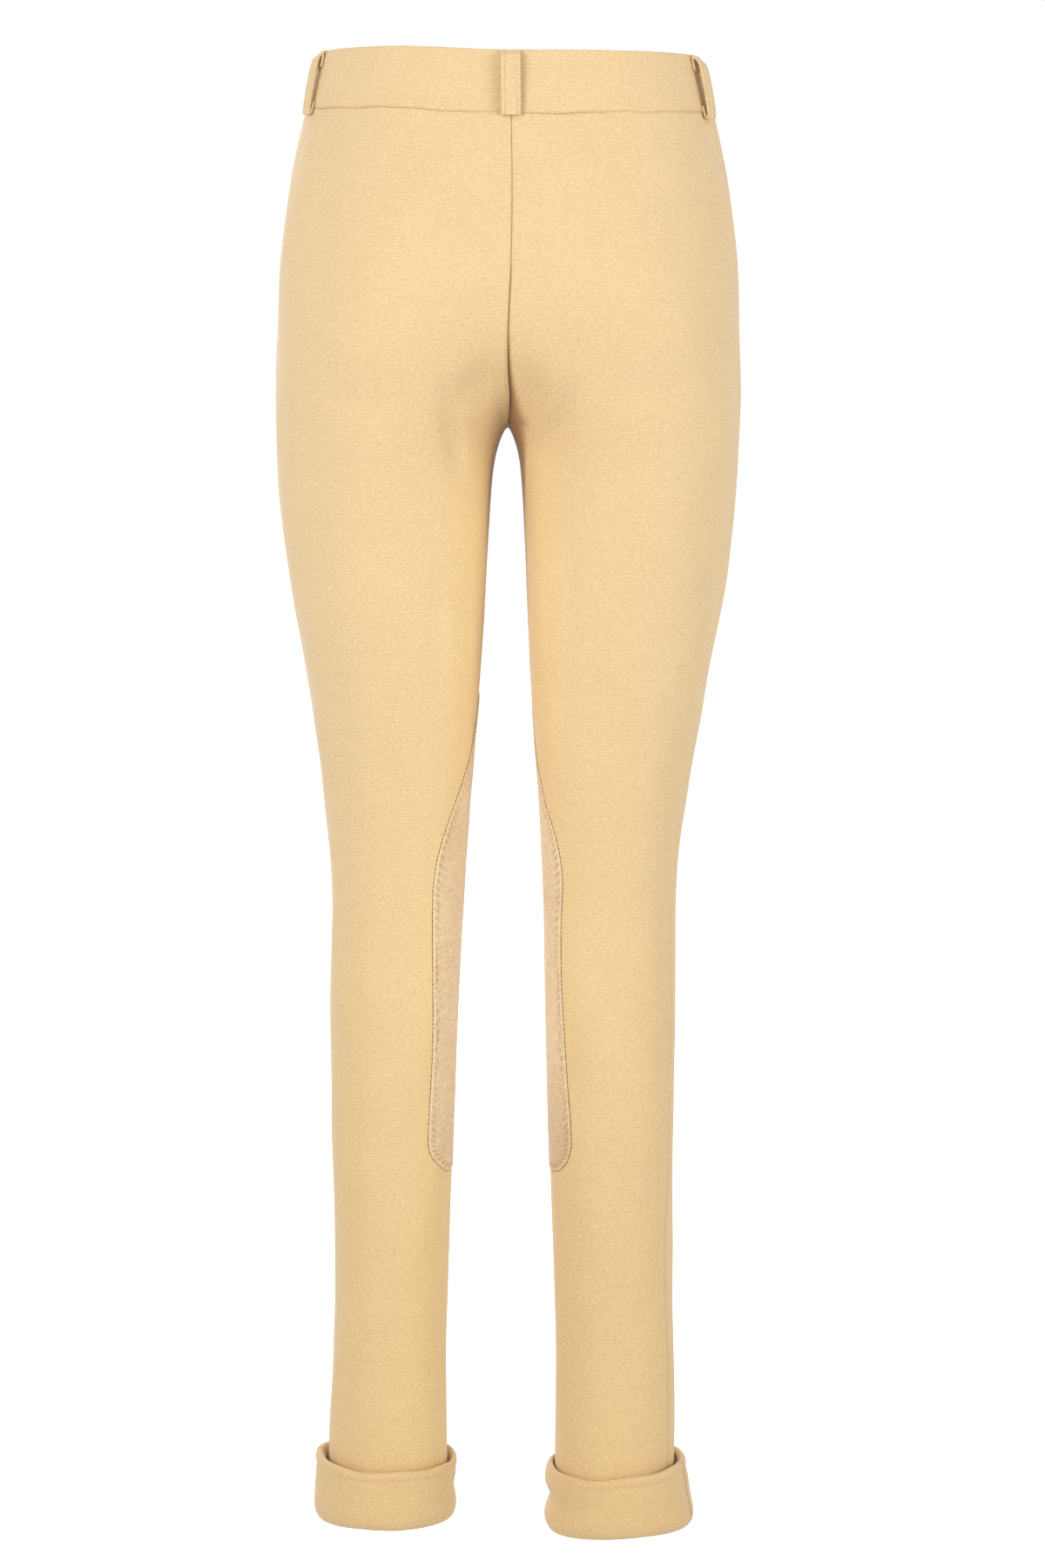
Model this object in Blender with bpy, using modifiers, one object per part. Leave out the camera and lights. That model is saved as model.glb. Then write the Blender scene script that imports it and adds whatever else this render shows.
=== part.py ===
"""Jodhpurs, filled out as worn: waistband, four leg panels, knee patches, turn-up cuffs and belt loops.

Run it with blender --background --python, or from Blender's text editor. Units are metres, +Z is up,
the garment's front faces -Y and the wearer's left is at +X. The origin is the middle of the waistband's
ring.

Every piece is a cloth wall on one family of level outlines, worked out from SECTIONS. Above the crotch
half an outline runs from the back seam round the side to the front seam. Below it the same half closes
round the leg, from inseam to inseam. A row of points always runs clockwise seen from above, and rows
are listed from the top down, so that faces between them point out of the cloth.
"""

from typing import NamedTuple

import bmesh
import bpy
import numpy as np

MM = 0.001
COLLECTION_NAME = "jodhpurs"
LEFT, RIGHT = 1, -1
SIDE_NAMES = {LEFT: "left", RIGHT: "right"}

# Cloth walls
KNIT_WALL = 1.4 * MM
BAND_WALL = 2.4 * MM
CUFF_WALL = 2.2 * MM
PATCH_WALL = 1.2 * MM
LOOP_WALL = 1.8 * MM

# Gaps between pieces. At the cloth's face some are wider, because the walls behind it lean together
BAND_GAP = 0.6 * MM
CUFF_GAP = 0.4 * MM
PATCH_GAP = 1.25 * MM  # clears the ridges between the panels' flat faces
LOOP_GAP = 0.5 * MM
CENTRE_INSET = 0.2 * MM  # a panel's edge stops this far short of the centre seams
SEAM_INSET = 0.45 * MM  # and this far short of its inseam and outseam

# Heights, above the middle of the waistband
BAND_TOP = 20.5 * MM
BAND_BOTTOM = -20.5 * MM
BAND_SIDE_RISE = 3.0 * MM  # the band is this much shallower at the sides
BAND_LEFT_RISE = 3.2 * MM  # and sits this much higher towards its left side
BAND_LEFT_REACH = 85 * MM  # from the middle to where it is fully raised
CROTCH = -224 * MM

# Seat seam, outseams, and the arch between the legs
ARCH_DEPTH = 16 * MM  # below the crotch the legs part over about this depth
VALLEY_SPREAD = 30 * MM  # above it the valley between them fills out, faster where this is less
ROW_DROP = 50 * MM  # a row's fall from the crotch to the outseam
ROW_DROP_FADE = 90 * MM  # further down the leg the rows turn level over about this length
OUTER_SQUARENESS = 2.15
OUTSEAM_BACK = {LEFT: -4 * MM, RIGHT: 24 * MM}  # how far behind the side line the outseam lies

# Mesh density
ARC_POINTS = 40
SEAM_POINTS = 80
BAND_COLUMNS = 44
BAND_ROWS = 3
PANEL_COLUMNS = 8
ROWS_ABOVE_CROTCH = 12
ROWS_BELOW_CROTCH = 21
ROW_CROWDING = 1.3  # over 1 crowds the leg's rows towards the crotch
CUFF_COLUMNS = 26
LOOP_COLUMNS = 2
LOOP_FOLD_STEPS = 5


class Section(NamedTuple):
    """Sizes of the filled-out garment at one height, in millimetres."""

    height: float
    lean: float  # the middle line's shift towards the wearer's left
    left: float  # middle line to the left side
    right: float
    crown: float  # middle line to the fullest point of the seat, thigh or calf
    gap: float  # middle line to the inner leg, once the legs have parted
    back: float
    front: float
    squareness: float  # of the outline's inner half, where 2 is an ellipse


SECTIONS = (
    Section(21, -0.6, 127.6, 126.0, 22, 10, 98, -93, 2.2),
    Section(-20, -0.9, 137.4, 135.9, 27, 10, 101, -96, 2.2),
    Section(-60, -1.5, 148.0, 144.2, 38, 10, 110, -98, 2.2),
    Section(-110, -1.0, 154.3, 149.9, 54, 10, 119, -98, 2.3),
    Section(-160, 1.2, 154.2, 154.2, 70, 10, 117, -96, 2.5),
    Section(-210, 1.5, 155.8, 156.6, 80, 10, 105, -91, 2.7),
    Section(-265, 2.2, 153.4, 155.3, 83, 11.2, 94, -87, 2.7),
    Section(-330, 2.8, 145.8, 148.2, 80, 13.6, 87, -81, 2.5),
    Section(-400, 3.4, 133.8, 136.2, 76, 17.6, 77, -72, 2.4),
    Section(-470, 4.0, 122.4, 125.2, 73, 23.4, 66, -62, 2.3),
    Section(-540, 4.6, 117.6, 118.2, 73, 27.4, 58, -54, 2.2),
    Section(-620, 5.9, 117.4, 118.2, 74, 30.2, 61, -45, 2.2),
    Section(-700, 6.5, 115.8, 119.0, 75, 32.7, 58, -41, 2.2),
    Section(-780, 6.5, 114.2, 118.0, 76, 35.4, 51, -40, 2.2),
    Section(-860, 6.6, 116.6, 119.2, 78, 37.8, 47, -41, 2.2),
    Section(-930, 6.6, 118.4, 120.4, 79, 37.4, 47, -44, 2.2),
    Section(-985, 6.6, 119.0, 120.6, 79, 37.2, 48, -46, 2.2),
)


class PatchRow(NamedTuple):
    """How far the knee patches reach round the leg from the inseam at one height, in millimetres."""

    height: float
    back_left: float
    back_right: float
    front: float


PATCH_ROWS = (
    PatchRow(-405, -24, -24, -27),
    PatchRow(-406, -19, -19, -33),
    PatchRow(-409, -12, -13, -39),
    PatchRow(-415, -3, -5, -45),
    PatchRow(-422, 5, 0, -49),
    PatchRow(-431, 14, 5, -52),
    PatchRow(-441, 23, 9, -55),
    PatchRow(-453, 32, 15, -58),
    PatchRow(-466, 40, 23, -60),
    PatchRow(-480, 46.5, 32, -62),
    PatchRow(-495, 51.5, 41.5, -64),
    PatchRow(-512, 54.5, 46, -66),
    PatchRow(-532, 55, 46, -67),
    PatchRow(-562, 52.3, 42, -68),
    PatchRow(-600, 49.5, 40, -68),
    PatchRow(-650, 45.5, 40.5, -66),
    PatchRow(-690, 45, 43.5, -64),
    PatchRow(-708, 44, 43.5, -62),
    PatchRow(-717, 40.5, 41, -59),
    PatchRow(-723, 34.5, 37, -54),
    PatchRow(-728, 27, 30, -47),
    PatchRow(-730, 21, 23, -41),
    PatchRow(-731, 13, 15, -33),
)


class CuffRow(NamedTuple):
    """A line round a turn-up, in millimetres: out from the leg's face, and above the cuff's lowest line."""

    out: float
    height: float


CUFF_ROWS = (
    CuffRow(6.4, 44),
    CuffRow(7.6, 35),
    CuffRow(8.0, 20),
    CuffRow(7.4, 8),
    CuffRow(4.6, 1.5),
    CuffRow(1.2, 0),
    CuffRow(-1.4, 2.5),
    CuffRow(-1.4, 6),
)
CUFF_BOTTOM = {LEFT: -980.5 * MM, RIGHT: -984.5 * MM}
CUFF_SLANT = {LEFT: 0.03, RIGHT: 0.06}  # the cuff's rise per length towards the leg's outer side
CUFF_FULLNESS = 0.2  # more room on the leg's outer side, and as much less on its inner side
CUFF_BACK_RISE = {LEFT: 3.6 * MM, RIGHT: 2.2 * MM}  # how much higher its lowest line is at the back
CUFF_CORNER = {LEFT: 0.5 * MM, RIGHT: 4.5 * MM}  # how far its lowest outer corner stands out further
CUFF_HEIGHT = 44 * MM

# Belt loops: each one's side, and its share of the way round that side from the centre back
LOOP_PLACES = {
    "belt_loop_back": (LEFT, 0.0),
    "belt_loop_side_left": (LEFT, 0.42),
    "belt_loop_side_right": (RIGHT, 0.395),
    "belt_loop_front_left": (LEFT, 0.84),
    "belt_loop_front_right": (RIGHT, 0.84),
}
LOOP_WIDTH = 13.5 * MM
LOOP_TOP = 20.5 * MM
LOOP_BOTTOM = -22 * MM
LOOP_CLEARANCE = 5.2 * MM  # between the band and the strip
LOOP_TOP_FLAP = 10 * MM  # ends of the strip that are folded in and tacked to the band
LOOP_BOTTOM_FLAP = 8 * MM

# Materials: name, colour and roughness
KNIT = ("knit", (0.88, 0.66, 0.38), 0.9)
SUEDE = ("suede", (0.76, 0.56, 0.34), 0.95)


# ---------------------------------------------------------------- outlines


def size_at(column, height):
    """A column of SECTIONS at any height, in metres, on a smooth curve through its rows."""
    heights = np.array([row.height for row in SECTIONS]) * MM
    values = np.array([getattr(row, column) for row in SECTIONS])
    slopes = np.gradient(values, heights)
    lower = int(np.clip(np.searchsorted(-heights, -height), 1, len(heights) - 1))
    upper = lower - 1
    step = heights[lower] - heights[upper]
    share = (height - heights[upper]) / step
    value = (
        (1 + 2 * share) * (1 - share) ** 2 * values[upper]
        + share * (1 - share) ** 2 * step * slopes[upper]
        + share**2 * (3 - 2 * share) * values[lower]
        + share**2 * (share - 1) * step * slopes[lower]
    )
    return value if column == "squareness" else value * MM


def quarter(crown, reach, depth, squareness, angles):
    """Points of a superellipse about (crown, 0) that reaches this far sideways, and this deep."""
    across = crown + reach * np.cos(angles) ** (2 / squareness)
    deep = depth * np.sin(angles) ** (2 / squareness)
    return np.stack([across, deep], axis=1)


def inner_reach(height):
    """How far the inner leg lies from the middle line. Above the crotch it is negative: the two sides'
    outlines would cross there, and are cut off at the seat seam.
    """
    rise = height - CROTCH
    gap = size_at("gap", height)
    if rise <= 0:
        return gap * (1 - np.exp(rise / ARCH_DEPTH))
    return -gap * rise / ARCH_DEPTH - rise**2 / VALLEY_SPREAD


def outline_half(side, part, height):
    """The back or front half of a side's outline, as (sideways, depth), from its inner seam to the side."""
    middle = (size_at("back", height) + size_at("front", height)) / 2
    depth = size_at(part, height) - middle
    squareness = size_at("squareness", height)
    crown = size_at("crown", height)
    outer = size_at(SIDE_NAMES[side], height)
    reach = inner_reach(height) + CENTRE_INSET - crown
    cut = min((CENTRE_INSET - crown) / reach, 1)
    start = np.arccos(cut ** (squareness / 2))
    inner_angles = np.linspace(start, np.pi / 2, ARC_POINTS)
    outer_angles = np.linspace(np.pi / 2, 0, ARC_POINTS)[1:]
    inner_arc = quarter(crown, reach, depth, squareness, inner_angles)
    outer_arc = quarter(crown, outer - crown, depth, OUTER_SQUARENESS, outer_angles)
    return np.concatenate([inner_arc, outer_arc]) + (0, middle)


def side_row(side, height):
    """A side's outline at a height, as points that run clockwise, and the index of its side point."""
    back = outline_half(side, "back", height)
    front = outline_half(side, "front", height)
    outline = np.concatenate([back, front[-2::-1]])
    across = size_at("lean", height) + side * outline[:, 0]
    row = np.stack([across, outline[:, 1], np.full(len(outline), height)], axis=1)
    return row[::side], len(back) - 1


def lengths_along(points):
    steps = np.linalg.norm(np.diff(points, axis=0), axis=1)
    return np.concatenate([[0], np.cumsum(steps)])


def points_at(line, lengths, along=None):
    """Points of a line at these lengths along it."""
    along = lengths_along(line) if along is None else along
    return np.stack([np.interp(lengths, along, column) for column in line.T], axis=-1)


def lengths_from_outseam(side, height):
    """A side's outline, and how far round it from the outseam each of its points lies."""
    row, at_side = side_row(side, height)
    along = lengths_along(row)
    return row, along - along[at_side] + side * OUTSEAM_BACK[side]


def panel_row(side, part, outseam_height, seam_height):
    """A row of a panel's outer face, from its outseam to its seat seam or inseam."""
    before_outseam = (part == "back") == (side == LEFT)
    reach = lengths_from_outseam(side, seam_height)[1][0 if before_outseam else -1]
    inseam_inset = SEAM_INSET if seam_height <= CROTCH else 0
    start = SEAM_INSET * np.sign(reach)
    end = reach - inseam_inset * np.sign(reach)
    points = []
    for share in np.linspace(0, 1, PANEL_COLUMNS + 1):
        height = outseam_height * (1 - share) + seam_height * share
        line, along = lengths_from_outseam(side, height)
        points.append(points_at(line, start * (1 - share) + end * share, along))
    return np.array(points[::-1] if before_outseam else points)


def ring(sides, height, columns):
    """A closed row of points, round one leg or round the whole waist."""
    line = np.concatenate([side_row(side, height)[0] for side in sides])
    line = np.concatenate([line, line[:1]])
    lengths = np.linspace(0, lengths_along(line)[-1], columns + 1)[:-1]
    return points_at(line, lengths)


def left_rise(across):
    """How much higher the waist sits this far across."""
    share = np.clip(across / BAND_LEFT_REACH, 0, 1)
    return BAND_LEFT_RISE * share**2 * (3 - 2 * share)


def waist_row(row_at, height, side_rise=0.0):
    """The row that `row_at` gives, raised as the waist is, and at its sides by `side_rise` more."""
    low = row_at(height)
    high = row_at(height + BAND_LEFT_RISE + BAND_SIDE_RISE)
    across = low[:, :1]
    rise = left_rise(across) + side_rise * (across / size_at("left", BAND_BOTTOM)) ** 2
    return low + (high - low) * rise / (BAND_LEFT_RISE + BAND_SIDE_RISE)


def directions_out(rows):
    """Unit vectors out of the cloth at each point of a grid."""
    along = np.gradient(rows, axis=1)
    down = np.gradient(rows, axis=0)
    out = np.cross(along, down)
    return out / np.linalg.norm(out, axis=2, keepdims=True)


def cuff_line_height(side, row, height):
    """Heights of a line round a cuff, slanted as the cuff is, and raised at the back of the leg."""
    from_middle = side * row[:, 0] - size_at("crown", CUFF_BOTTOM[side])
    behind = np.clip(row[:, 1] / size_at("back", CUFF_BOTTOM[side]), 0, 1)
    raised = CUFF_BACK_RISE[side] * behind**2 * (1 - height / CUFF_HEIGHT)
    return CUFF_BOTTOM[side] + height + CUFF_SLANT[side] * from_middle + raised


# ---------------------------------------------------------------- objects


def make_material(name, colour, roughness):
    material = bpy.data.materials.get(name) or bpy.data.materials.new(name)
    material.use_nodes = True
    shader = material.node_tree.nodes["Principled BSDF"]
    shader.inputs["Base Color"].default_value = (*colour, 1)
    shader.inputs["Roughness"].default_value = roughness
    shader.inputs["Metallic"].default_value = 0
    return material


def make_cloth(name, rows, wall, wall_side, finish, closed=False):
    """A wall of cloth on a grid of points: behind it where `wall_side` is -1, and before it where 1."""
    bm = bmesh.new()
    points = [[bm.verts.new(point) for point in row] for row in rows]
    columns = len(points[0])
    for upper, lower in zip(points[:-1], points[1:]):
        for k in range(columns if closed else columns - 1):
            following = (k + 1) % columns
            bm.faces.new((upper[k], upper[following], lower[following], lower[k]))
    bmesh.ops.remove_doubles(bm, verts=bm.verts, dist=0.01 * MM)
    bmesh.ops.triangulate(bm, faces=bm.faces, quad_method="SHORT_EDGE")
    mesh = bpy.data.meshes.new(name)
    bm.to_mesh(mesh)
    bm.free()
    mesh.shade_smooth()
    mesh.materials.append(make_material(*finish))
    cloth = bpy.data.objects.new(name, mesh)
    bpy.data.collections[COLLECTION_NAME].objects.link(cloth)
    solidify = cloth.modifiers.new("wall", "SOLIDIFY")
    solidify.thickness = wall
    solidify.offset = wall_side
    solidify.use_even_offset = True
    solidify.use_quality_normals = True


# ---------------------------------------------------------------- pieces


def seat_seam_heights(side, part):
    """Heights of points spaced evenly along the curve of a seat seam, from the band to the crotch."""
    heights = CROTCH + (BAND_BOTTOM - CROTCH) * np.linspace(1, 0, SEAM_POINTS) ** 2
    depths = [outline_half(side, part, height)[0, 1] for height in heights]
    along = lengths_along(np.stack([depths, heights], axis=1))
    return np.interp(np.linspace(0, along[-1], ROWS_ABOVE_CROTCH + 1), along, heights)


def panel_grid(side, part):
    """A panel's outer face. Its rows fan out from the curve of the seat seam, and are cut to the band's
    seam and to the cuff.
    """
    leg_end = CUFF_BOTTOM[side] + CUFF_ROWS[-1].height * MM + CUFF_GAP
    above = seat_seam_heights(side, part)
    above_outseam = np.linspace(BAND_BOTTOM, CROTCH - ROW_DROP, len(above))
    shares = np.linspace(0, 1, ROWS_BELOW_CROTCH + 1)[1:] ** ROW_CROWDING
    below = CROTCH + (leg_end - CROTCH) * shares
    below_outseam = below - ROW_DROP * np.exp((below - CROTCH) / ROW_DROP_FADE)
    below_outseam[-1] = leg_end
    ends = zip([*above_outseam, *below_outseam], [*above, *below])
    grid = np.array([panel_row(side, part, *heights) for heights in ends])
    grid[0] = waist_row(
        lambda height: panel_row(side, part, height, height), BAND_BOTTOM - BAND_GAP, BAND_SIDE_RISE
    )
    grid[-1, :, 2] = cuff_line_height(side, grid[-1], leg_end - CUFF_BOTTOM[side])
    return grid


def make_panels():
    for side, side_name in SIDE_NAMES.items():
        for part in ("back", "front"):
            make_cloth(f"{part}_{side_name}", panel_grid(side, part), KNIT_WALL, -1, KNIT)


def make_waistband():
    rows = []
    for share in np.linspace(0, 1, BAND_ROWS + 1):
        height = BAND_TOP + (BAND_BOTTOM - BAND_TOP) * share
        rows.append(
            waist_row(
                lambda level: ring((LEFT, RIGHT), level, BAND_COLUMNS), height, BAND_SIDE_RISE * share
            )
        )
    make_cloth("waistband", rows, BAND_WALL, -1, KNIT, closed=True)


def make_knee_patches():
    """Patches over the inner knees: the panels' own faces across the inseam, cut out and moved out."""
    for side, side_name in SIDE_NAMES.items():
        panels = [panel_grid(side, part) for part in ("front", "back")[::side]]
        strip = np.concatenate(panels, axis=1)
        out = directions_out(strip)
        heights = strip[:, PANEL_COLUMNS, 2]
        outline = np.array(PATCH_ROWS) * MM
        covered = heights[(heights < outline[0, 0]) & (heights > outline[-1, 0])]
        rows = []
        for height in sorted({*outline[:, 0], *covered}, reverse=True):
            lower = int(np.searchsorted(-heights, -height))
            share = (heights[lower - 1] - height) / (heights[lower - 1] - heights[lower])
            line = strip[lower - 1] * (1 - share) + strip[lower] * share
            line_out = out[lower - 1] * (1 - share) + out[lower] * share
            along = lengths_along(line)
            along -= (along[PANEL_COLUMNS] + along[PANEL_COLUMNS + 1]) / 2
            columns = (1 if side == LEFT else 2, 3)
            reaches = [side * np.interp(-height, -outline[:, 0], outline[:, k]) for k in columns]
            rows.append(points_at(line + line_out * PATCH_GAP, np.clip(along, *sorted(reaches)), along))
        make_cloth(f"knee_patch_{side_name}", rows, PATCH_WALL, 1, SUEDE)


def make_cuffs():
    """Turn-ups: down outside the leg, under, and up inside to meet the leg's end."""
    for side, side_name in SIDE_NAMES.items():
        rows = []
        for cuff_row in CUFF_ROWS:
            row = ring((side,), CUFF_BOTTOM[side] + cuff_row.height * MM, CUFF_COLUMNS)
            along = np.roll(row, -1, axis=0) - np.roll(row, 1, axis=0)
            out = np.cross(along, (0, 0, -1))
            out /= np.linalg.norm(out, axis=1, keepdims=True)
            fullness = 1 + CUFF_FULLNESS * side * out[:, :1] * (cuff_row.out > 0)
            corner = np.clip(side * out[:, :1], 0, 1) ** 2 * np.exp(-((cuff_row.height / 16) ** 2))
            row += out * (fullness * cuff_row.out * MM + CUFF_CORNER[side] * corner)
            row[:, 2] = cuff_line_height(side, row, cuff_row.height * MM)
            rows.append(row)
        make_cloth(f"cuff_{side_name}", rows, CUFF_WALL, -1, KNIT, closed=True)


def loop_path():
    """Middle line of a belt loop's strip, as (out from the band, height), from its top flap's end."""
    flap = LOOP_GAP + LOOP_WALL / 2
    strip = LOOP_CLEARANCE + LOOP_WALL / 2
    radius = (strip - flap) / 2
    top = LOOP_TOP - LOOP_WALL / 2 - radius
    bottom = LOOP_BOTTOM + LOOP_WALL / 2 + radius
    angles = np.linspace(0, np.pi, LOOP_FOLD_STEPS + 1)
    top_fold = [(flap + radius * (1 - np.cos(a)), top + radius * np.sin(a)) for a in angles]
    bottom_fold = [(out, bottom + top - height) for out, height in top_fold[::-1]]
    middle = [(strip, (top + bottom) / 2)]
    top_flap = [(flap, LOOP_TOP - LOOP_TOP_FLAP)]
    bottom_flap = [(flap, LOOP_BOTTOM + LOOP_BOTTOM_FLAP)]
    return top_flap + top_fold + middle + bottom_fold + bottom_flap


def make_belt_loops():
    widths = np.linspace(-0.5, 0.5, LOOP_COLUMNS + 1) * LOOP_WIDTH
    for name, (side, share) in LOOP_PLACES.items():

        def across_band(height):
            right, left = side_row(RIGHT, height)[0], side_row(LEFT, height)[0]
            line = np.concatenate([right, left])
            along = lengths_along(line) - lengths_along(right)[-1]
            place = share * (along[-1] if side == LEFT else along[0])
            return points_at(line, place + widths, along)

        rows = []
        for out, height in loop_path():
            before, middle, after = waist_row(across_band, height)
            across = (after - before) / np.linalg.norm(after - before)
            away = np.cross(across, (0, 0, -1))
            rows.append([middle + away * out + across * width for width in widths])
        make_cloth(name, rows, LOOP_WALL, 0, KNIT)


def main():
    for obj in list(bpy.data.objects):
        bpy.data.objects.remove(obj)
    collection = bpy.data.collections.new(COLLECTION_NAME)
    bpy.context.scene.collection.children.link(collection)
    make_waistband()
    make_panels()
    make_knee_patches()
    make_cuffs()
    make_belt_loops()


main()
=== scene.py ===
"""Jodhpurs of ribbed cotton knit with suede knee patches, filled out as worn.

The file is laid out as an add-on and is run as a script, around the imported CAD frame. Units are
metres, +Z is up, the garment's front faces -Y and the wearer's left is at +X. The origin is the
middle of the waistband's ring.

Every piece is cloth on one family of level outlines, worked out from SECTIONS. A place on the cloth
is a length round from the outseam, clockwise seen from above, and a height. Rows of points run
clockwise and are listed from the top down, so that faces between them point out of the cloth.
"""

from typing import NamedTuple

import bpy
import numpy as np
from bpy.props import FloatProperty, FloatVectorProperty, PointerProperty
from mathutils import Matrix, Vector


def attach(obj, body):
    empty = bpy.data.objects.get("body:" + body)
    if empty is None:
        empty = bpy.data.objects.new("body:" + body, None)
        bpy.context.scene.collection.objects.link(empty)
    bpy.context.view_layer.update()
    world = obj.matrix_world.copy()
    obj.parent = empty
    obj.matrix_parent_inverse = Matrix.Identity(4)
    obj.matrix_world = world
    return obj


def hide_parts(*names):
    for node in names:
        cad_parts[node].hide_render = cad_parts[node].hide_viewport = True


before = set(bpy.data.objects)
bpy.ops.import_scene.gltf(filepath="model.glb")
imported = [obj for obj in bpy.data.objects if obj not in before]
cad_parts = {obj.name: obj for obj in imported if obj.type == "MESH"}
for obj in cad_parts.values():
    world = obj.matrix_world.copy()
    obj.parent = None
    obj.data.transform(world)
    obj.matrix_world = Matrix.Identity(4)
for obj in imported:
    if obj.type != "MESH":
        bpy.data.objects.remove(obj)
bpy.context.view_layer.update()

bl_info = {
    "name": "Jodhpurs",
    "version": (1, 0, 0),
    "blender": (4, 5, 0),
    "location": "3D View > Sidebar > Jodhpurs",
    "description": "Builds knitted jodhpurs with suede knee patches, filled out as worn",
    "category": "Add Mesh",
}

MM = 0.001
LEFT, RIGHT = 1, -1
SIDE_NAMES = {LEFT: "left", RIGHT: "right"}
SEED = 7

# Heights, above the middle of the waistband
BAND_TOP = 20.5 * MM
BAND_BOTTOM = -20.5 * MM
BAND_SIDE_RISE = 3.0 * MM  # the band is this much shallower at the sides
BAND_LEFT_RISE = 3.2 * MM  # and sits this much higher towards its left side
BAND_LEFT_REACH = 85 * MM  # from the middle to where it is fully raised
CROTCH = -224 * MM

# Form of the seat and legs, as in the CAD model
CENTRE_INSET = 0.2 * MM
ARCH_DEPTH = 16 * MM  # below the crotch the legs part over about this depth
VALLEY_SPREAD = 30 * MM  # above it the valley between them fills out, faster where this is less
ROW_DROP = 50 * MM  # a row's fall from the crotch to the outseam
ROW_DROP_FADE = 90 * MM
OUTER_SQUARENESS = 2.15
OUTSEAM_BACK = {LEFT: -4 * MM, RIGHT: 24 * MM}  # how far behind the side line the outseam lies

# Fineness of the form's table and of the cloth's meshes
ARC_POINTS = 140
TABLE_TOP, TABLE_BOTTOM = BAND_TOP + 8 * MM, -1.0
TABLE_ABOVE, TABLE_BELOW, TABLE_COLUMNS = 240, 380, 480
PANEL_COLUMNS, PANEL_CROWDING = 84, 0.6
ROWS_ABOVE_CROTCH, ROWS_BELOW_CROTCH = 96, 176
ROW_CROWDING = 1.2
BAND_COLUMNS = 320
CUFF_COLUMNS = 300
PATCH_COLUMNS, PATCH_LENGTHWISE, PATCH_CROWDING = 72, 400, 0.75
PATH_STEPS, LOOP_STEPS = 4, 6  # rows from one point of a path to the next
LOOP_FACE_POINTS, LOOP_EDGE_POINTS = 13, 7
SEAT_SEAM_POINTS, BAND_SEAM_POINTS, PATCH_BOTTOM_POINTS = 400, 600, 12

# Walls and seams. A seam's two edges lie SEAM_GAP apart, and the cloth turns in round EDGE_RADIUS
BAND_WALL = 1.0 * MM
CUFF_WALL = 1.1 * MM
SEAM_GAP = 0.02 * MM
EDGE_RADIUS = 0.5 * MM
BAND_EDGE_RADIUS = 0.28 * MM  # tighter under the band
ALLOWANCE = 4 * MM
TURNED_COLUMNS = 5  # points that a turned-in edge adds: round the edge, then one straight in
SEAT_LAP = 1.4 * MM  # how far the left side's edge lies over the middle line, just above the crotch
LAP_TALL = 72 * MM  # above the crotch, where the left back panel laps the right one more deeply
INNER_FADE = 9 * MM  # creases fade out this near the inner seams, where two panels have to meet
GATHER_PITCH = 7.4 * MM  # of the little gathers under the band
# The groove at a seam and the swell on each side of it, their depths in millimetres
GROOVE, GROOVE_WIDTH = 0.55, 1.3 * MM
SWELL, SWELL_PLACE, SWELL_WIDTH = 0.22, 4.5 * MM, 2.4 * MM


class Section(NamedTuple):
    """Sizes of the filled-out garment at one height, in millimetres."""

    height: float
    lean: float  # the middle line's shift towards the wearer's left
    left: float  # middle line to the left side
    right: float
    crown: float  # middle line to the fullest point of the seat, thigh or calf
    gap: float  # middle line to the inner leg, once the legs have parted
    back: float
    front: float
    squareness: float  # of the outline's inner half, where 2 is an ellipse


SECTIONS = (
    Section(21, -0.6, 127.6, 126.0, 22, 10, 98, -93, 2.2),
    Section(-20, -0.9, 137.4, 135.9, 27, 10, 101, -96, 2.2),
    Section(-60, -1.5, 148.0, 144.2, 38, 10, 110, -98, 2.2),
    Section(-110, -1.0, 154.3, 149.9, 54, 10, 119, -98, 2.25),
    Section(-160, 1.2, 154.2, 154.2, 70, 10, 117, -96, 2.3),
    Section(-210, 1.5, 155.8, 156.6, 80, 10, 105, -91, 2.15),
    Section(-265, 2.2, 153.4, 155.3, 83, 11.2, 94, -87, 2.25),
    Section(-330, 2.8, 145.8, 148.2, 80, 13.6, 87, -81, 2.6),
    Section(-400, 3.4, 133.8, 136.2, 76, 17.6, 77, -72, 2.7),
    Section(-470, 4.0, 122.4, 125.2, 73, 23.4, 66, -62, 2.5),
    Section(-540, 4.6, 117.6, 118.2, 73, 27.4, 58, -54, 2.3),
    Section(-620, 5.9, 117.4, 118.2, 74, 30.2, 61, -45, 2.2),
    Section(-700, 6.5, 115.8, 119.0, 75, 32.7, 58, -41, 2.2),
    Section(-780, 6.5, 114.2, 118.0, 76, 35.4, 51, -40, 2.2),
    Section(-860, 6.6, 116.6, 119.2, 78, 37.8, 47, -41, 2.2),
    Section(-930, 6.6, 118.4, 120.4, 79, 37.4, 47, -44, 2.2),
    Section(-985, 6.6, 119.0, 120.6, 79, 37.2, 48, -46, 2.2),
)


class Wave(NamedTuple):
    """A broad unevenness of the cloth: its wavelengths round and down the leg, in millimetres."""

    round: float
    down: float
    phase: float
    height: float


WAVES = (
    Wave(170, 240, 0.3, 0.50),
    Wave(-95, 150, 1.7, 0.34),
    Wave(60, -110, 4.1, 0.20),
    Wave(38, 75, 2.2, 0.10),
    Wave(-24, 52, 5.0, 0.06),
)


class Crease(NamedTuple):
    """A soft trough in the cloth, in millimetres, between two places behind the outseam."""

    side: int
    start_back: float
    start_height: float
    end_back: float
    end_height: float
    bow: float  # how far its middle bows from the straight line
    width: float
    depth: float


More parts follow.
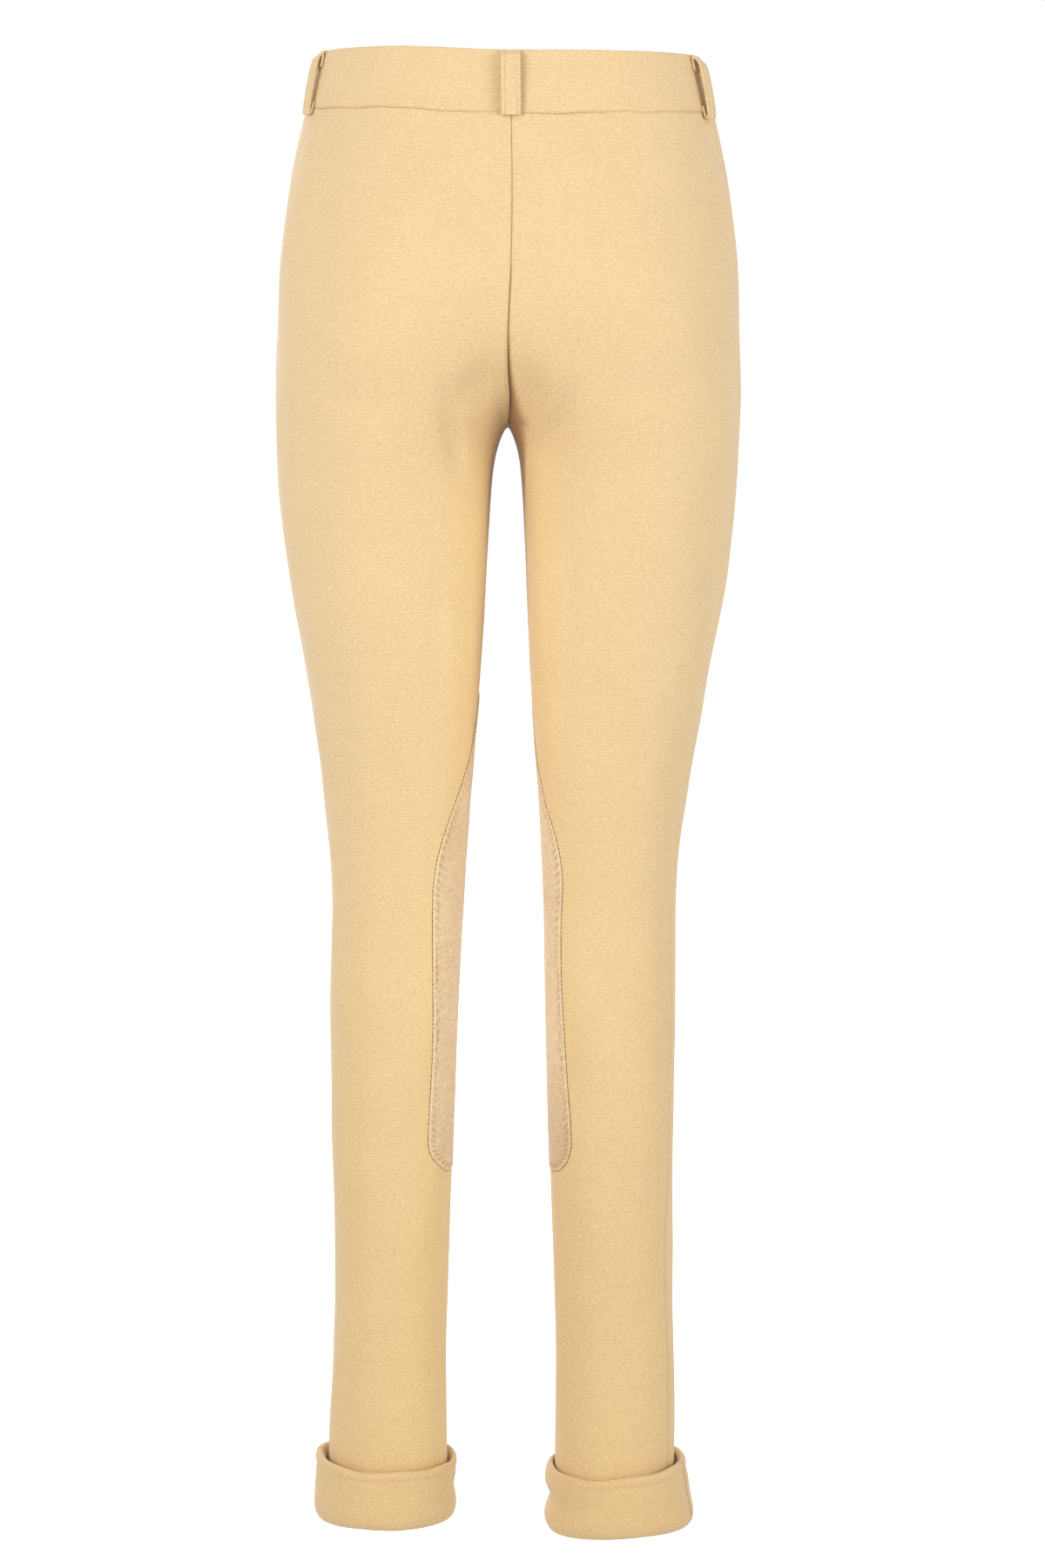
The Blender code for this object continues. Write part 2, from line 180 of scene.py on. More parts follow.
CREASES = (
    # under the seat, from the crotch out over the thigh
    Crease(LEFT, 178, -190, 193, -276, 4, 7, 2.8),
    Crease(LEFT, 224, -172, 176, -208, 9, 11, 2.8),
    Crease(LEFT, 216, -232, 204, -310, -5, 8, 0.9),
    Crease(LEFT, 150, -205, 92, -216, -6, 13, 1.1),
    Crease(RIGHT, 155, -182, 183, -254, -6, 7, 2.8),
    Crease(RIGHT, 198, -176, 158, -206, 8, 11, 1.8),
    Crease(RIGHT, 204, -238, 190, -306, 4, 8, 0.6),
    Crease(RIGHT, 132, -196, 76, -208, -6, 13, 1.0),
    # straight down the back of the thigh, barely there
    Crease(LEFT, 168, -284, 132, -440, 3, 5, 0.8),
    Crease(RIGHT, 150, -284, 113, -440, -3, 5, 0.8),
    # drawn round above the turn-ups
    Crease(LEFT, 28, -858, 118, -884, 5, 4, 0.45),
    Crease(LEFT, 44, -874, 126, -896, 3, 4, 0.4),
    Crease(RIGHT, -6, -874, 82, -888, -4, 4, 0.4),
    # in front, from the crotch up and out over the thigh, and over the knees
    Crease(LEFT, -166, -226, -92, -198, 7, 9, 1.4),
    Crease(LEFT, -168, -246, -112, -268, -6, 9, 1.0),
    Crease(RIGHT, -190, -224, -118, -200, 8, 9, 1.3),
    Crease(RIGHT, -192, -248, -140, -274, -6, 9, 1.1),
    Crease(LEFT, -50, -516, -118, -528, -7, 9, 0.8),
    Crease(RIGHT, -72, -508, -138, -524, -7, 9, 0.8),
    Crease(LEFT, -30, -868, -110, -880, 5, 5, 0.4),
    Crease(RIGHT, -60, -872, -128, -884, 4, 5, 0.4),
)


class PatchRow(NamedTuple):
    """How far the knee patches reach round from the inseam at one height, in millimetres."""

    height: float
    back_left: float
    back_right: float
    front: float


PATCH_ROWS = (
    PatchRow(-405, -24, -24, -27),
    PatchRow(-406, -19, -19, -33),
    PatchRow(-409, -12, -13, -39),
    PatchRow(-415, -3, -5, -45),
    PatchRow(-422, 5, 0, -49),
    PatchRow(-431, 14, 5, -52),
    PatchRow(-441, 23, 9, -55),
    PatchRow(-453, 32, 15, -58),
    PatchRow(-466, 40, 23, -60),
    PatchRow(-480, 46.5, 32, -62),
    PatchRow(-495, 51.5, 41.5, -64),
    PatchRow(-512, 54.5, 46, -66),
    PatchRow(-532, 55, 46, -67),
    PatchRow(-562, 52.3, 42, -68),
    PatchRow(-600, 49.5, 40, -68),
    PatchRow(-650, 45.5, 40.5, -66),
    PatchRow(-690, 45, 43.5, -64),
    PatchRow(-708, 44, 43.5, -62),
    PatchRow(-717, 40.5, 41, -59),
    PatchRow(-723, 34.5, 37, -54),
    PatchRow(-728, 27, 30, -47),
    PatchRow(-730, 21, 23, -41),
    PatchRow(-731, 13, 15, -33),
)
# Pulls of the stitches in a patch's border: how far in they lie and reach, their pitch and slant
PULL_INSET, PULL_REACH, PULL_PITCH, PULL_SLANT = 3.7 * MM, 1.9 * MM, 5.0 * MM, 0.8
BORDER_STEP = 0.5 * MM
PATCH_DARKER = {LEFT: 0.08, RIGHT: 0.3}  # how much darker the suede is drawn towards the bottom
PATCH_DARKER_TOP, PATCH_DARKER_TALL = -0.63, 0.09
PATCH_SINK = 0.1 * MM  # how far a patch's wrong side sinks into the knit

# Waistband: (out from the form, height) in millimetres, up its inside and down its face
BAND_PATH = (
    (-2.3, -19.5), (-2.3, -6), (-2.3, 8), (-2.3, 17.5), (-2.0, 19.5), (-1.1, 20.4), (-0.3, 19.6),
    (0.0, 17.5), (-0.1, 15.8), (0.0, 13), (0.1, 0), (0.1, -12), (0.1, -19.5),
    (0.0, -20.2), (-0.35, -20.48), (-1.2, -20.4),
)

# Turn-ups: (out from the leg's face, height above the cuff's lowest line), in millimetres
CUFF_PATH = (
    (1.9, 33), (2.2, 39), (3.1, 43.2), (4.6, 45.2), (6.5, 45.0), (7.8, 43.7), (8.2, 41.7),
    (7.8, 39.7), (7.45, 38.2), (7.6, 34.5), (7.9, 26), (8.0, 17), (7.5, 8), (5.4, 2.2),
    (2.2, 0.1), (-0.4, 0.9), (-1.3, 3), (-1.4, 7),
)
CUFF_BOTTOM = {LEFT: -980.5 * MM, RIGHT: -984.5 * MM}
CUFF_SLANT = {LEFT: 0.03, RIGHT: 0.06}  # the cuff's rise per length towards the leg's outer side
CUFF_INNER_REACH = 40 * MM  # from the leg's middle to its inner side
CUFF_FULLNESS = 0.2  # more room on the leg's outer side, and as much less on its inner side
CUFF_BACK_RISE = {LEFT: 3.6 * MM, RIGHT: 2.2 * MM}  # how much higher its lowest line is at the back
CUFF_INNER_RISE = {LEFT: 4.0 * MM, RIGHT: 0.0}  # and on the leg's inner side
CUFF_CORNER = {LEFT: 1.6 * MM, RIGHT: 5.2 * MM}  # how far its lowest outer corner sticks out
CUFF_CORNER_DROP = 0.28  # and how much of that it hangs lower
CUFF_HEIGHT = 44 * MM
CUFF_CORNER_TALL = 16 * MM
CUFF_FACE = 3 * MM  # the rows further out than this are the turn-up's outer face
CUFF_SEAM_SUNK = 0.8 * MM
CUFF_SEAM_SHIFT = {LEFT: 0.0, RIGHT: -9 * MM}  # how far round its seam lies from the leg's outseam
LEG_END = 6.4 * MM  # the panels end this far above the cuff's lowest line
LEG_ENDS = {side: CUFF_BOTTOM[side] + LEG_END for side in SIDE_NAMES}
CUT_FADE = 40 * MM  # the curves of a panel's two ends fade out of its rows over this


class Dent(NamedTuple):
    """A soft dent in a turn-up, or a bulge if its depth is negative. Its angle and spread are
    degrees round the leg from its outer side, and the rest is in millimetres.
    """

    side: int
    angle: float
    spread: float
    height: float
    tall: float
    depth: float


CUFF_DENTS = (
    Dent(LEFT, 180, 40, 22, 8, 1.8),
    Dent(LEFT, 96, 30, 24, 12, 0.9),
    Dent(RIGHT, 180, 45, 23, 7, 2.4),
    Dent(RIGHT, 180, 45, 35, 6, -1.5),
    Dent(RIGHT, 180, 45, 45, 5, 1.6),
    Dent(RIGHT, 180, 45, 10, 8, -1.6),
    Dent(RIGHT, 0, 50, 43, 8, 1.9),
    Dent(RIGHT, 112, 34, 22, 8, 1.0),
)


class LoopPlace(NamedTuple):
    """A belt loop: its side, its share of the way round from the centre back, and how it hangs."""

    side: int
    share: float
    ease: float  # over this height its top swings out from the band, in millimetres
    drop: float  # how much lower the far edge of its top lies, in millimetres
    slack: float  # how far it stands out, as a share of LOOP_PATH
    twist: float  # degrees by which its face is turned towards the back


LOOP_PLACES = {
    "belt_loop_back": LoopPlace(LEFT, 0.0, 2, 0.4, 0.92, 1),
    "belt_loop_side_left": LoopPlace(LEFT, 0.42, 2.5, 1.7, 0.86, 5),
    "belt_loop_side_right": LoopPlace(RIGHT, 0.395, 3, 2.0, 1.06, 2.5),
    "belt_loop_front_left": LoopPlace(LEFT, 0.84, 5, 0.8, 0.85, -2),
    "belt_loop_front_right": LoopPlace(RIGHT, 0.84, 6, 1.2, 0.95, 2),
}
LOOP_WIDTH = 12.9 * MM
LOOP_THICK = 1.6 * MM
LOOP_TOP_TALL = 16 * MM  # the lean of a loop's top fades out over this
# (out from the band, height) along the strip's middle from its top flap, in millimetres
LOOP_PATH = (
    (1.2, 9.5), (1.3, 14.5), (1.7, 17.8), (3.0, 19.6), (4.5, 19.0), (5.4, 16.6),
    (5.8, 12), (5.75, 4), (5.5, -4), (4.9, -12), (4.4, -17), (3.8, -19.9),
    (2.7, -21.1), (1.7, -20.0), (1.3, -17.2), (1.2, -13.5),
)

# What each panel was cut to: its width and length in metres, and its area in square metres
PANEL_CUTS = {
    ("back", LEFT): ((0.27, 0.98), 0.181),
    ("front", LEFT): ((0.26, 0.97), 0.172),
    ("back", RIGHT): ((0.25, 0.98), 0.157),
    ("front", RIGHT): ((0.29, 0.97), 0.199),
}
LEG_PANELS = {
    side: [f"cloth_{part}_{name}" for part in ("back", "front")]
    for side, name in SIDE_NAMES.items()
}

# Stage
CAMERA_PLACE = (-0.0083, 2.8, -0.14)
CAMERA_TILT = 6.68  # degrees below the horizon
CAMERA_LENS = 94.94
FLOOR_HEIGHT = -1.07
FLOOR_RADIUS = 14
WORLD_LIGHT = 0.70
# Softboxes: name, place, what it is aimed at, width in metres, watts
SOFTBOXES = (
    ("softbox_left", (1.6, 2.3, 0.2), (0, 0, -0.4), 1.5, 37),
    ("softbox_right", (-2.3, 1.7, 0.1), (0, 0, -0.4), 1.5, 29),
    ("softbox_front", (0.8, -3.0, 0.8), (0, 0, -0.5), 2.4, 50),
)


# Finishes. Grains are in millimetres across and down the cloth, with the noise's detail
WAVE_PERIOD = 2 * np.pi / 20  # a wave texture repeats after this much of its scaled coordinate
KNIT_GRAINS = ((2.8, 1.5, 3), (12, 8, 2), (60, 50, 1))
# What the knit's colour is multiplied by for painted shade, darker and warmer, and for painted
# light, paler
KNIT_PAINTED_SHADE_TINT, KNIT_PAINTED_LIGHT_TINT = (0.93, 0.89, 0.79), (1.13, 1.17, 1.12)
SUEDE_GRAINS = ((2.4, 1.8, 3), (9, 5, 3), (40, 60, 1))


class Stitching(NamedTuple):
    """A kind of stitch. Its size is its length, width and height in millimetres."""

    size: tuple
    pitch: float  # from one to the next, or 0 where the user sets it
    inset: float  # from the edge of the piece
    depth: float  # how far it sinks in: in metres, or on a patch as a share of the patch's height
    jitter: float = 0  # how unevenly the stitches are turned, in radians


BAND_STITCH = Stitching((2.3, 0.7, 0.5), 3.7 * MM, 0, 0.16 * MM)
LOOP_STITCH = Stitching((1.7, 0.6, 0.5), 2.6 * MM, 2.6 * MM, 0.25 * MM)
CHAIN_STITCH = Stitching((2.0, 0.75, 0.5), 0, 1.3 * MM, 0.05, 0.35)
# dark thread at the patch's very edge, which also stands in for the shadow along that edge
EDGE_STITCH = Stitching((2.6, 0.55, 0.45), 3.0 * MM, -0.2 * MM, 0.85, 0.12)
STITCH_SPREAD = (0.75, 1.2)  # the least and the most of its kind's size, for a patch's stitch


def linear(hex_colour):
    """An sRGB hex colour as linear red, green and blue."""
    parts = [int(hex_colour[k : k + 2], 16) / 255 for k in (1, 3, 5)]
    return tuple(p / 12.92 if p <= 0.04045 else ((p + 0.055) / 1.055) ** 2.4 for p in parts)


# ---------------------------------------------------------------- the filled-out form


def on_curve(values, slopes, lower, share, step=1):
    """Values on a smooth curve, this share of the way from each lower row to the next."""
    return (
        (1 + 2 * share) * (1 - share) ** 2 * values[lower]
        + share * (1 - share) ** 2 * step * slopes[lower]
        + share**2 * (3 - 2 * share) * values[lower + 1]
        + share**2 * (share - 1) * step * slopes[lower + 1]
    )


def size_at(name, heights):
    """A column of SECTIONS at these heights, on a smooth curve through its rows."""
    rows = np.array([row.height for row in SECTIONS])[::-1] * MM
    values = np.array([getattr(row, name) for row in SECTIONS])[::-1]
    lower = np.clip(np.searchsorted(rows, heights), 1, len(rows) - 1) - 1
    step = rows[lower + 1] - rows[lower]
    found = on_curve(values, np.gradient(values, rows), lower, (heights - rows[lower]) / step, step)
    return found if name == "squareness" else found * MM


def smooth_path(path, steps):
    """A path of (out, height) in millimetres, rounded between its points, in metres."""
    path = np.array(path, float) * MM
    slopes = np.gradient(path, axis=0)
    share = (np.arange(steps) / steps)[:, None]
    found = [on_curve(path, slopes, k, share) for k in range(len(path) - 1)]
    return np.concatenate([*found, path[-1:]])


def outline_half(side, part, heights):
    """The back or front half of a side's outlines: (sideways, depth) from its inner seam."""
    heights = heights[:, None]
    back, front, crown, gap, outer, squareness = (
        size_at(name, heights)
        for name in ("back", "front", "crown", "gap", SIDE_NAMES[side], "squareness")
    )
    middle = (back + front) / 2
    depth = (back if part == "back" else front) - middle
    rise = heights - CROTCH
    parted = gap * (1 - np.exp(np.minimum(rise, 0) / ARCH_DEPTH))
    crossed = -gap * rise / ARCH_DEPTH - rise**2 / VALLEY_SPREAD
    reach = np.where(rise <= 0, parted, crossed) + CENTRE_INSET - crown
    cut = np.minimum((CENTRE_INSET - crown) / reach, 1)
    start = np.arccos(cut ** (squareness / 2))
    inner = start + (np.pi / 2 - start) * np.linspace(0, 1, ARC_POINTS)
    outer_angles = np.linspace(np.pi / 2, 0, ARC_POINTS)[None, 1:]
    across = [
        crown + reach * np.cos(inner) ** (2 / squareness),
        crown + (outer - crown) * np.cos(outer_angles) ** (2 / OUTER_SQUARENESS),
    ]
    deep = [
        depth * np.sin(inner) ** (2 / squareness),
        depth * np.sin(outer_angles) ** (2 / OUTER_SQUARENESS),
    ]
    return np.stack([np.concatenate(across, axis=1), np.concatenate(deep, axis=1) + middle], axis=2)


def unit(vectors):
    return vectors / np.maximum(np.linalg.norm(vectors, axis=-1, keepdims=True), 1e-12)


def lengths_along(points):
    steps = np.linalg.norm(np.diff(points, axis=-2), axis=-1)
    return np.concatenate([np.zeros((*steps.shape[:-1], 1)), np.cumsum(steps, axis=-1)], axis=-1)


def bump(distance, width):
    return np.exp(-((distance / width) ** 2))


def smooth(share):
    share = np.clip(share, 0, 1)
    return share * share * (3 - 2 * share)


def left_rise(across):
    """How much higher the waist sits this far across."""
    return BAND_LEFT_RISE * smooth(across / BAND_LEFT_REACH)


def waist_rise(across, share):
    """How far the waistband is raised this far across it and this share of the way down it."""
    wavering = 0.35 * np.sin(across / (11 * MM) + 0.8) + 0.2 * np.sin(across / (4.3 * MM))
    sides = BAND_SIDE_RISE * (across / size_at("left", BAND_BOTTOM)) ** 2
    return left_rise(across) + share * sides + share**4 * wavering * MM


def cuff_rise(side, points, height):
    """How far a line round a turn-up is raised from level: slanted, and higher at the back."""
    from_middle = side * points[..., 0] - size_at("crown", CUFF_BOTTOM[side])
    behind = np.clip(points[..., 1] / size_at("back", CUFF_BOTTOM[side]), 0, 1)
    inner = np.clip(-from_middle / CUFF_INNER_REACH, 0, 1)
    lower = CUFF_BACK_RISE[side] * behind**2 + CUFF_INNER_RISE[side] * inner**1.4
    return CUFF_SLANT[side] * from_middle + lower * np.clip(1 - height / CUFF_HEIGHT, 0, 1)


def directions_out(rows):
    """Unit vectors out of the cloth at a grid of its points."""
    return unit(np.cross(np.gradient(rows, axis=1), np.gradient(rows, axis=0)))


class Leg:
    """One side's cloth from the waist to the hem, as a fine table of level outlines."""

    def __init__(self, side):
        self.side = side
        above = CROTCH + (TABLE_TOP - CROTCH) * np.linspace(1, 0, TABLE_ABOVE) ** 2
        below = np.linspace(CROTCH, TABLE_BOTTOM, TABLE_BELOW)[1:]
        self.heights = np.concatenate([above, below])
        back, front = (outline_half(side, part, self.heights) for part in ("back", "front"))
        outline = np.concatenate([back, front[:, -2::-1]], axis=1)
        across = size_at("lean", self.heights)[:, None] + side * outline[..., 0]
        level = np.broadcast_to(self.heights[:, None], across.shape)
        rows = np.stack([across, outline[..., 1], level], axis=2)[:, ::side]
        along = lengths_along(rows)
        at_side = back.shape[1] - 1
        from_outseam = along - along[:, at_side : at_side + 1] + side * OUTSEAM_BACK[side]
        self.first, self.last = from_outseam[:, 0], from_outseam[:, -1]
        shares = np.linspace(0, 1, TABLE_COLUMNS)
        points = np.array(
            [
                [np.interp(shares * length[-1], length, column) for column in row.T]
                for row, length in zip(rows, along)
            ]
        ).transpose(0, 2, 1)
        self.table = np.concatenate([points, directions_out(points)], axis=2)

    def ends(self, heights):
        """Where the cloth's inner edges lie at these heights: the first and last length round."""
        return (np.interp(-heights, -self.heights, end) for end in (self.first, self.last))

    def read(self, lengths, heights):
        """Points of the form, and unit vectors out of it."""
        lengths, heights = np.broadcast_arrays(lengths, heights)
        row = np.interp(-heights, -self.heights, np.arange(len(self.heights)))
        upper = np.clip(row.astype(int), 0, len(self.heights) - 2)
        found = 0
        for k, weight in ((upper, 1 - (row - upper)), (upper + 1, row - upper)):
            share = (lengths - self.first[k]) / (self.last[k] - self.first[k])
            column = np.clip(share, 0, 1) * (TABLE_COLUMNS - 1)
            before = np.clip(column.astype(int), 0, TABLE_COLUMNS - 2)
            right = (column - before)[..., None]
            near = self.table[k, before] * (1 - right) + self.table[k, before + 1] * right
            found = found + weight[..., None] * near
        return found[..., :3], unit(found[..., 3:])

    def inseam_length(self, reach, heights):
        """The length round of a place this far behind the inseam, or before it if negative."""
        first, last = self.ends(heights)
        behind, before = (first, last) if self.side == LEFT else (last, first)
        return np.where(reach >= 0, behind, before) + self.side * reach

    def edge_of(self, part, heights):
        """The length round of a panel's inner edge, at its seat seam or inseam."""
        first, last = self.ends(heights)
        return first if (part == "back") == (self.side == LEFT) else last


LEGS = {side: Leg(side) for side in SIDE_NAMES}


# ---------------------------------------------------------------- the cloth's unevenness


def crease_depth(crease, back, height):
    """How far a crease moves places of the cloth, in millimetres: a trough with a soft ridge on
    each side. It fades in over its first third and out over nearly its last half.
    """
    start = np.array([crease.start_back, crease.start_height])
    end = np.array([crease.end_back, crease.end_height])
    length = np.linalg.norm(end - start)
    along = (end - start) / length
    from_start = np.stack([back, height], axis=-1) - start
    share = from_start @ along / length
    beside = from_start @ np.array([-along[1], along[0]])
    beside = beside - crease.bow * 4 * share * (1 - share)
    fade = smooth(share / 0.35) * smooth((1 - share) / 0.45)
    ridges = 0.42 * bump(beside - 1.9 * crease.width, crease.width)
    ridges = ridges + 0.25 * bump(beside + 1.9 * crease.width, 1.1 * crease.width)
    return crease.depth * fade * (ridges - bump(beside, crease.width))


def relief(leg, lengths, heights, seams=True):
    """How far the cloth stands out from the filled-out form, in metres."""
    lengths, heights = np.broadcast_arrays(lengths, heights)
    back, height = -leg.side * lengths / MM, heights / MM
    first, last = leg.ends(heights)
    to_inner = np.minimum(lengths - first, last - lengths)
    level = 0
    for wave in WAVES:
        turn = 2 * np.pi * (back / wave.round + height / wave.down) + wave.phase + leg.side
        level = level + wave.height * np.sin(turn)
    for crease in CREASES:
        if crease.side == leg.side:
            level = level + crease_depth(crease, back, height)
    level = level * (1 - bump(to_inner, INNER_FADE))
    if seams:
        for distance in (np.abs(lengths), to_inner):
            swell = SWELL * bump(distance - SWELL_PLACE, SWELL_WIDTH)
            level = level - GROOVE * bump(distance, GROOVE_WIDTH) + swell
        # the left back panel laps over the right one
        to_seat = lengths - first if leg.side == LEFT else last - lengths
        rise = heights - CROTCH
        above, low = smooth(rise / (5 * MM)), smooth(1 - rise / LAP_TALL) ** 1.3
        if leg.side == LEFT:
            lap = (0.3 + 0.5 * low) * bump(to_seat, 4 * MM)
        else:
            lap = -0.25 * bump(to_seat, 3 * MM) - 2.2 * low * bump(to_seat, 8 * MM)
        level = level + above * lap
        below_band = BAND_BOTTOM - heights
        gathers = np.sin(2 * np.pi * lengths / GATHER_PITCH + 1.6 * np.sin(lengths / (9 * MM)))
        level = level + 0.2 * gathers * bump(below_band, 7 * MM) - 0.12 * bump(below_band, 2 * MM)
    return level * MM


def cloth_at(leg, lengths, heights, lift=0.0, seams=True):
    """Points of the finished cloth, lifted off it if asked, and unit vectors out of it."""
    points, outs = leg.read(lengths, heights)
    proud = relief(leg, lengths, heights, seams) + lift
    return points + outs * np.asarray(proud)[..., None], outs


# ---------------------------------------------------------------- meshes


def add_piece(name, vertices, faces, finish, places=None):
    """A smooth mesh object. `places` holds each face corner's place on the flat cloth."""
    mesh = bpy.data.meshes.new(name)
    mesh.from_pydata(vertices.reshape(-1, 3).tolist(), [], faces)
    if places is not None:
        mesh.uv_layers.new(name="flat").data.foreach_set("uv", places.astype(np.float32).ravel())
    mesh.shade_smooth()
    mesh.materials.append(finish)
    piece = bpy.data.objects.new(name, mesh)
    bpy.context.scene.collection.objects.link(piece)
    return piece


def store_on(piece, name, values):
    """Stores a number at each point of a shell's face and wall, for its material to read."""
    stored = piece.data.attributes.new(name, "FLOAT", "POINT")
    stored.data.foreach_set("value", np.tile(values.ravel(), 2).astype(np.float32))


def numbered(rows, columns, closed=False):
    """Numbers of a grid's points. A closed grid's rows end at their first point again."""
    numbers = np.arange(rows * columns).reshape(rows, columns)
    return np.concatenate([numbers, numbers[:, :1]], axis=1) if closed else numbers


def quads(grid):
    """Corners of the faces of a grid of numbers, which point out of the cloth."""
    corners = (grid[:-1, :-1], grid[:-1, 1:], grid[1:, 1:], grid[1:, :-1])
    return np.stack([corner.ravel() for corner in corners], axis=1)


def laid_flat(across, down):
    """Places on the flat cloth of a grid, from one row's and one column's."""
    return np.stack(np.broadcast_arrays(across[None], down[:, None]), axis=2)


def shell(name, points, outs, wall, flat, finish, closed=False):
    """A cloth wall behind a grid of points, with its rims. A closed grid's rows run right round."""
    number = numbered(*points.shape[:2], closed)
    place = numbered(*flat.shape[:2])
    count = points.size // 3
    faces = [quads(number), quads(number)[:, ::-1] + count]
    corners = [quads(place), quads(place)[:, ::-1]]
    edges = (np.s_[0], np.s_[-1, ::-1], np.s_[::-1, 0], np.s_[:, -1])
    for edge in edges[: 2 if closed else 4]:
        faces.append(quads(np.stack([number[edge] + count, number[edge]])))
        corners.append(quads(np.stack([place[edge], place[edge]])))
    places = flat.reshape(-1, 2)[np.concatenate(corners).ravel()]
    vertices = np.stack([points, points - outs * wall])
    return add_piece(name, vertices, np.concatenate(faces).tolist(), finish, places)


def ring_shell(name, points, wall, finish):
    """A cloth wall behind a closed grid of points, laid flat along its longest row."""
    around = np.roll(points, -1, axis=1) - np.roll(points, 1, axis=1)
    outs = unit(np.cross(around, np.gradient(points, axis=0)))
    longest = lengths_along(np.concatenate([points, points[:, :1]], axis=1))[:, -1].max()
    across = np.linspace(0, longest, points.shape[1] + 1)
    flat = laid_flat(across, -lengths_along(points[:, 0]))
    return shell(name, points, outs, wall, flat, finish, closed=True)


def turned_in(points, outs, lengths, depth, ways=None, radius=EDGE_RADIUS):
    """Turns the cloth in along a grid's last column, as at a sewn seam: round the edge, then
    straight in. Ways straight in that aren't given are against the vectors out. Returns the
    longer grids.
    """
    out = outs[:, -1]
    seamward = unit(points[:, -1] - points[:, -2])
    ways = -out if ways is None else ways
    turn = np.arccos(np.clip(np.sum(seamward * ways, axis=1), -1, 1))[:, None]
    new_points, new_outs, new_lengths = [points[:, -1]], [], []
    for share in np.linspace(0, 1, TURNED_COLUMNS)[1:]:
        middle = turn * (share - 0.5 / (TURNED_COLUMNS - 1))
        along = np.cos(middle) * seamward - np.sin(middle) * out
        new_points.append(new_points[-1] + radius * turn / (TURNED_COLUMNS - 1) * along)
        new_outs.append(np.cos(turn * share) * out + np.sin(turn * share) * seamward)
        new_lengths.append(radius * share * 1.5)  # nearly a quarter of a circle
    new_points.append(new_points[-1] + (depth - radius) * ways)
    new_outs.append(new_outs[-1])
    new_lengths.append(depth + radius)
    step = np.sign(lengths[:, -1] - lengths[:, -2])
    more = lengths[:, -1:] + step[:, None] * np.array(new_lengths)
    return (
        np.concatenate([points, np.stack(new_points[1:], axis=1)], axis=1),
        np.concatenate([outs, np.stack(new_outs, axis=1)], axis=1),
        np.concatenate([lengths, more], axis=1),
    )


def pressed_to_middle(side, points, from_row, last_columns=12):
    """Draws a grid's last columns sideways, so that its turned-in edge lies at the middle."""
    edge = points[:from_row, -2]
    middle = size_at("lean", edge[:, 2]) + side * SEAM_GAP / 2
    # the left side laps over the right where the valley is deepest
    middle = middle - SEAT_LAP * bump(edge[:, 2] - CROTCH - 18 * MM, 14 * MM) * (edge[:, 1] > 0)
    clear = smooth((edge[:, 2] - CROTCH) / (1.2 * MM) + 1)
    weights = smooth((np.arange(last_columns) + 1) / (last_columns - TURNED_COLUMNS))
    points[:from_row, -last_columns:, 0] += ((middle - edge[:, 0]) * clear)[:, None] * weights


def finished(piece, node=None):
    """Puts a piece on the garment's one body, in the place of its CAD node if it has one."""
    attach(piece, "root")
    if node:
        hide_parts(node)
    return piece


def edit_whole(operator, **settings):
    """Applies an operator to the whole active piece in edit mode."""
    bpy.ops.object.mode_set(mode="EDIT")
    bpy.ops.mesh.select_all(action="SELECT")
    operator(**settings)
    bpy.ops.object.mode_set(mode="OBJECT")


# ---------------------------------------------------------------- stitches


def model_stitch():
    """One stitch, a short plump bead of thread along +X that is 1 long, wide and high."""
    bpy.ops.object.select_all(action="DESELECT")
    bpy.ops.mesh.primitive_uv_sphere_add(segments=6, ring_count=4, radius=0.5)
    quarter = {"value": np.pi / 2, "orient_axis": "Y", "center_override": (0, 0, 0)}
    edit_whole(bpy.ops.transform.rotate, **quarter)
    stitch = bpy.context.active_object
    mesh = stitch.data
    vertices = np.array([v.co for v in mesh.vertices])
    faces = [list(p.vertices) for p in mesh.polygons]
    bpy.data.objects.remove(stitch)
    bpy.data.meshes.remove(mesh)
    return vertices, faces


def spaced(line, pitch):
    """Places along a line of points, evenly about a pitch apart, as shares of its index."""
    along = lengths_along(line)
    count = max(int(along[-1] / pitch), 1)
    return np.interp((np.arange(count) + 0.5) * along[-1] / count, along, np.arange(len(line)))


def taken(values, index):
    """Values at fractional places of their first axis."""
    lower = np.clip(index.astype(int), 0, len(values) - 2)
    share = (index - lower)[:, None]
    return values[lower] * (1 - share) + values[lower + 1] * share


def row_of_stitches(line, outs, pitch):
    """Centres, forward directions and vectors out of stitches along a line on the cloth."""
    places = spaced(line, pitch)
    return [taken(values, places) for values in (line, np.gradient(line, axis=0), outs)]


def sewn(name, stitch, rows, size, finish, spread=1):
    """Rows of stitches in one object. Their size is in millimetres, times each one's own spread."""
    template, template_faces = stitch
    centres, forwards, outs = (np.concatenate(values) for values in zip(*rows))
    forwards = unit(forwards)
    axes = np.stack([forwards, unit(np.cross(outs, forwards)), unit(outs)], axis=1)
    sizes = np.broadcast_to(np.array(size) * MM * spread, centres.shape)
    vertices = centres[:, None] + np.einsum("vk,nk,nkj->nvj", template, sizes, axes)
    starts = range(0, len(centres) * len(template), len(template))
    faces = [[corner + start for corner in face] for start in starts for face in template_faces]
    return finished(add_piece(name, vertices, faces, finish))


# ---------------------------------------------------------------- materials


def add_node(tree, kind, settings=None, links=None):
    """Adds a node, sets its properties or sockets, and links other nodes' outputs to it."""
    node = tree.nodes.new(kind)
    for name, value in (settings or {}).items():
        if isinstance(name, int) or name in node.inputs:
            node.inputs[name].default_value = value
        else:
            setattr(node, name, value)
    for name, output in (links or {}).items():
        tree.links.new(output, node.inputs[name])
    return node


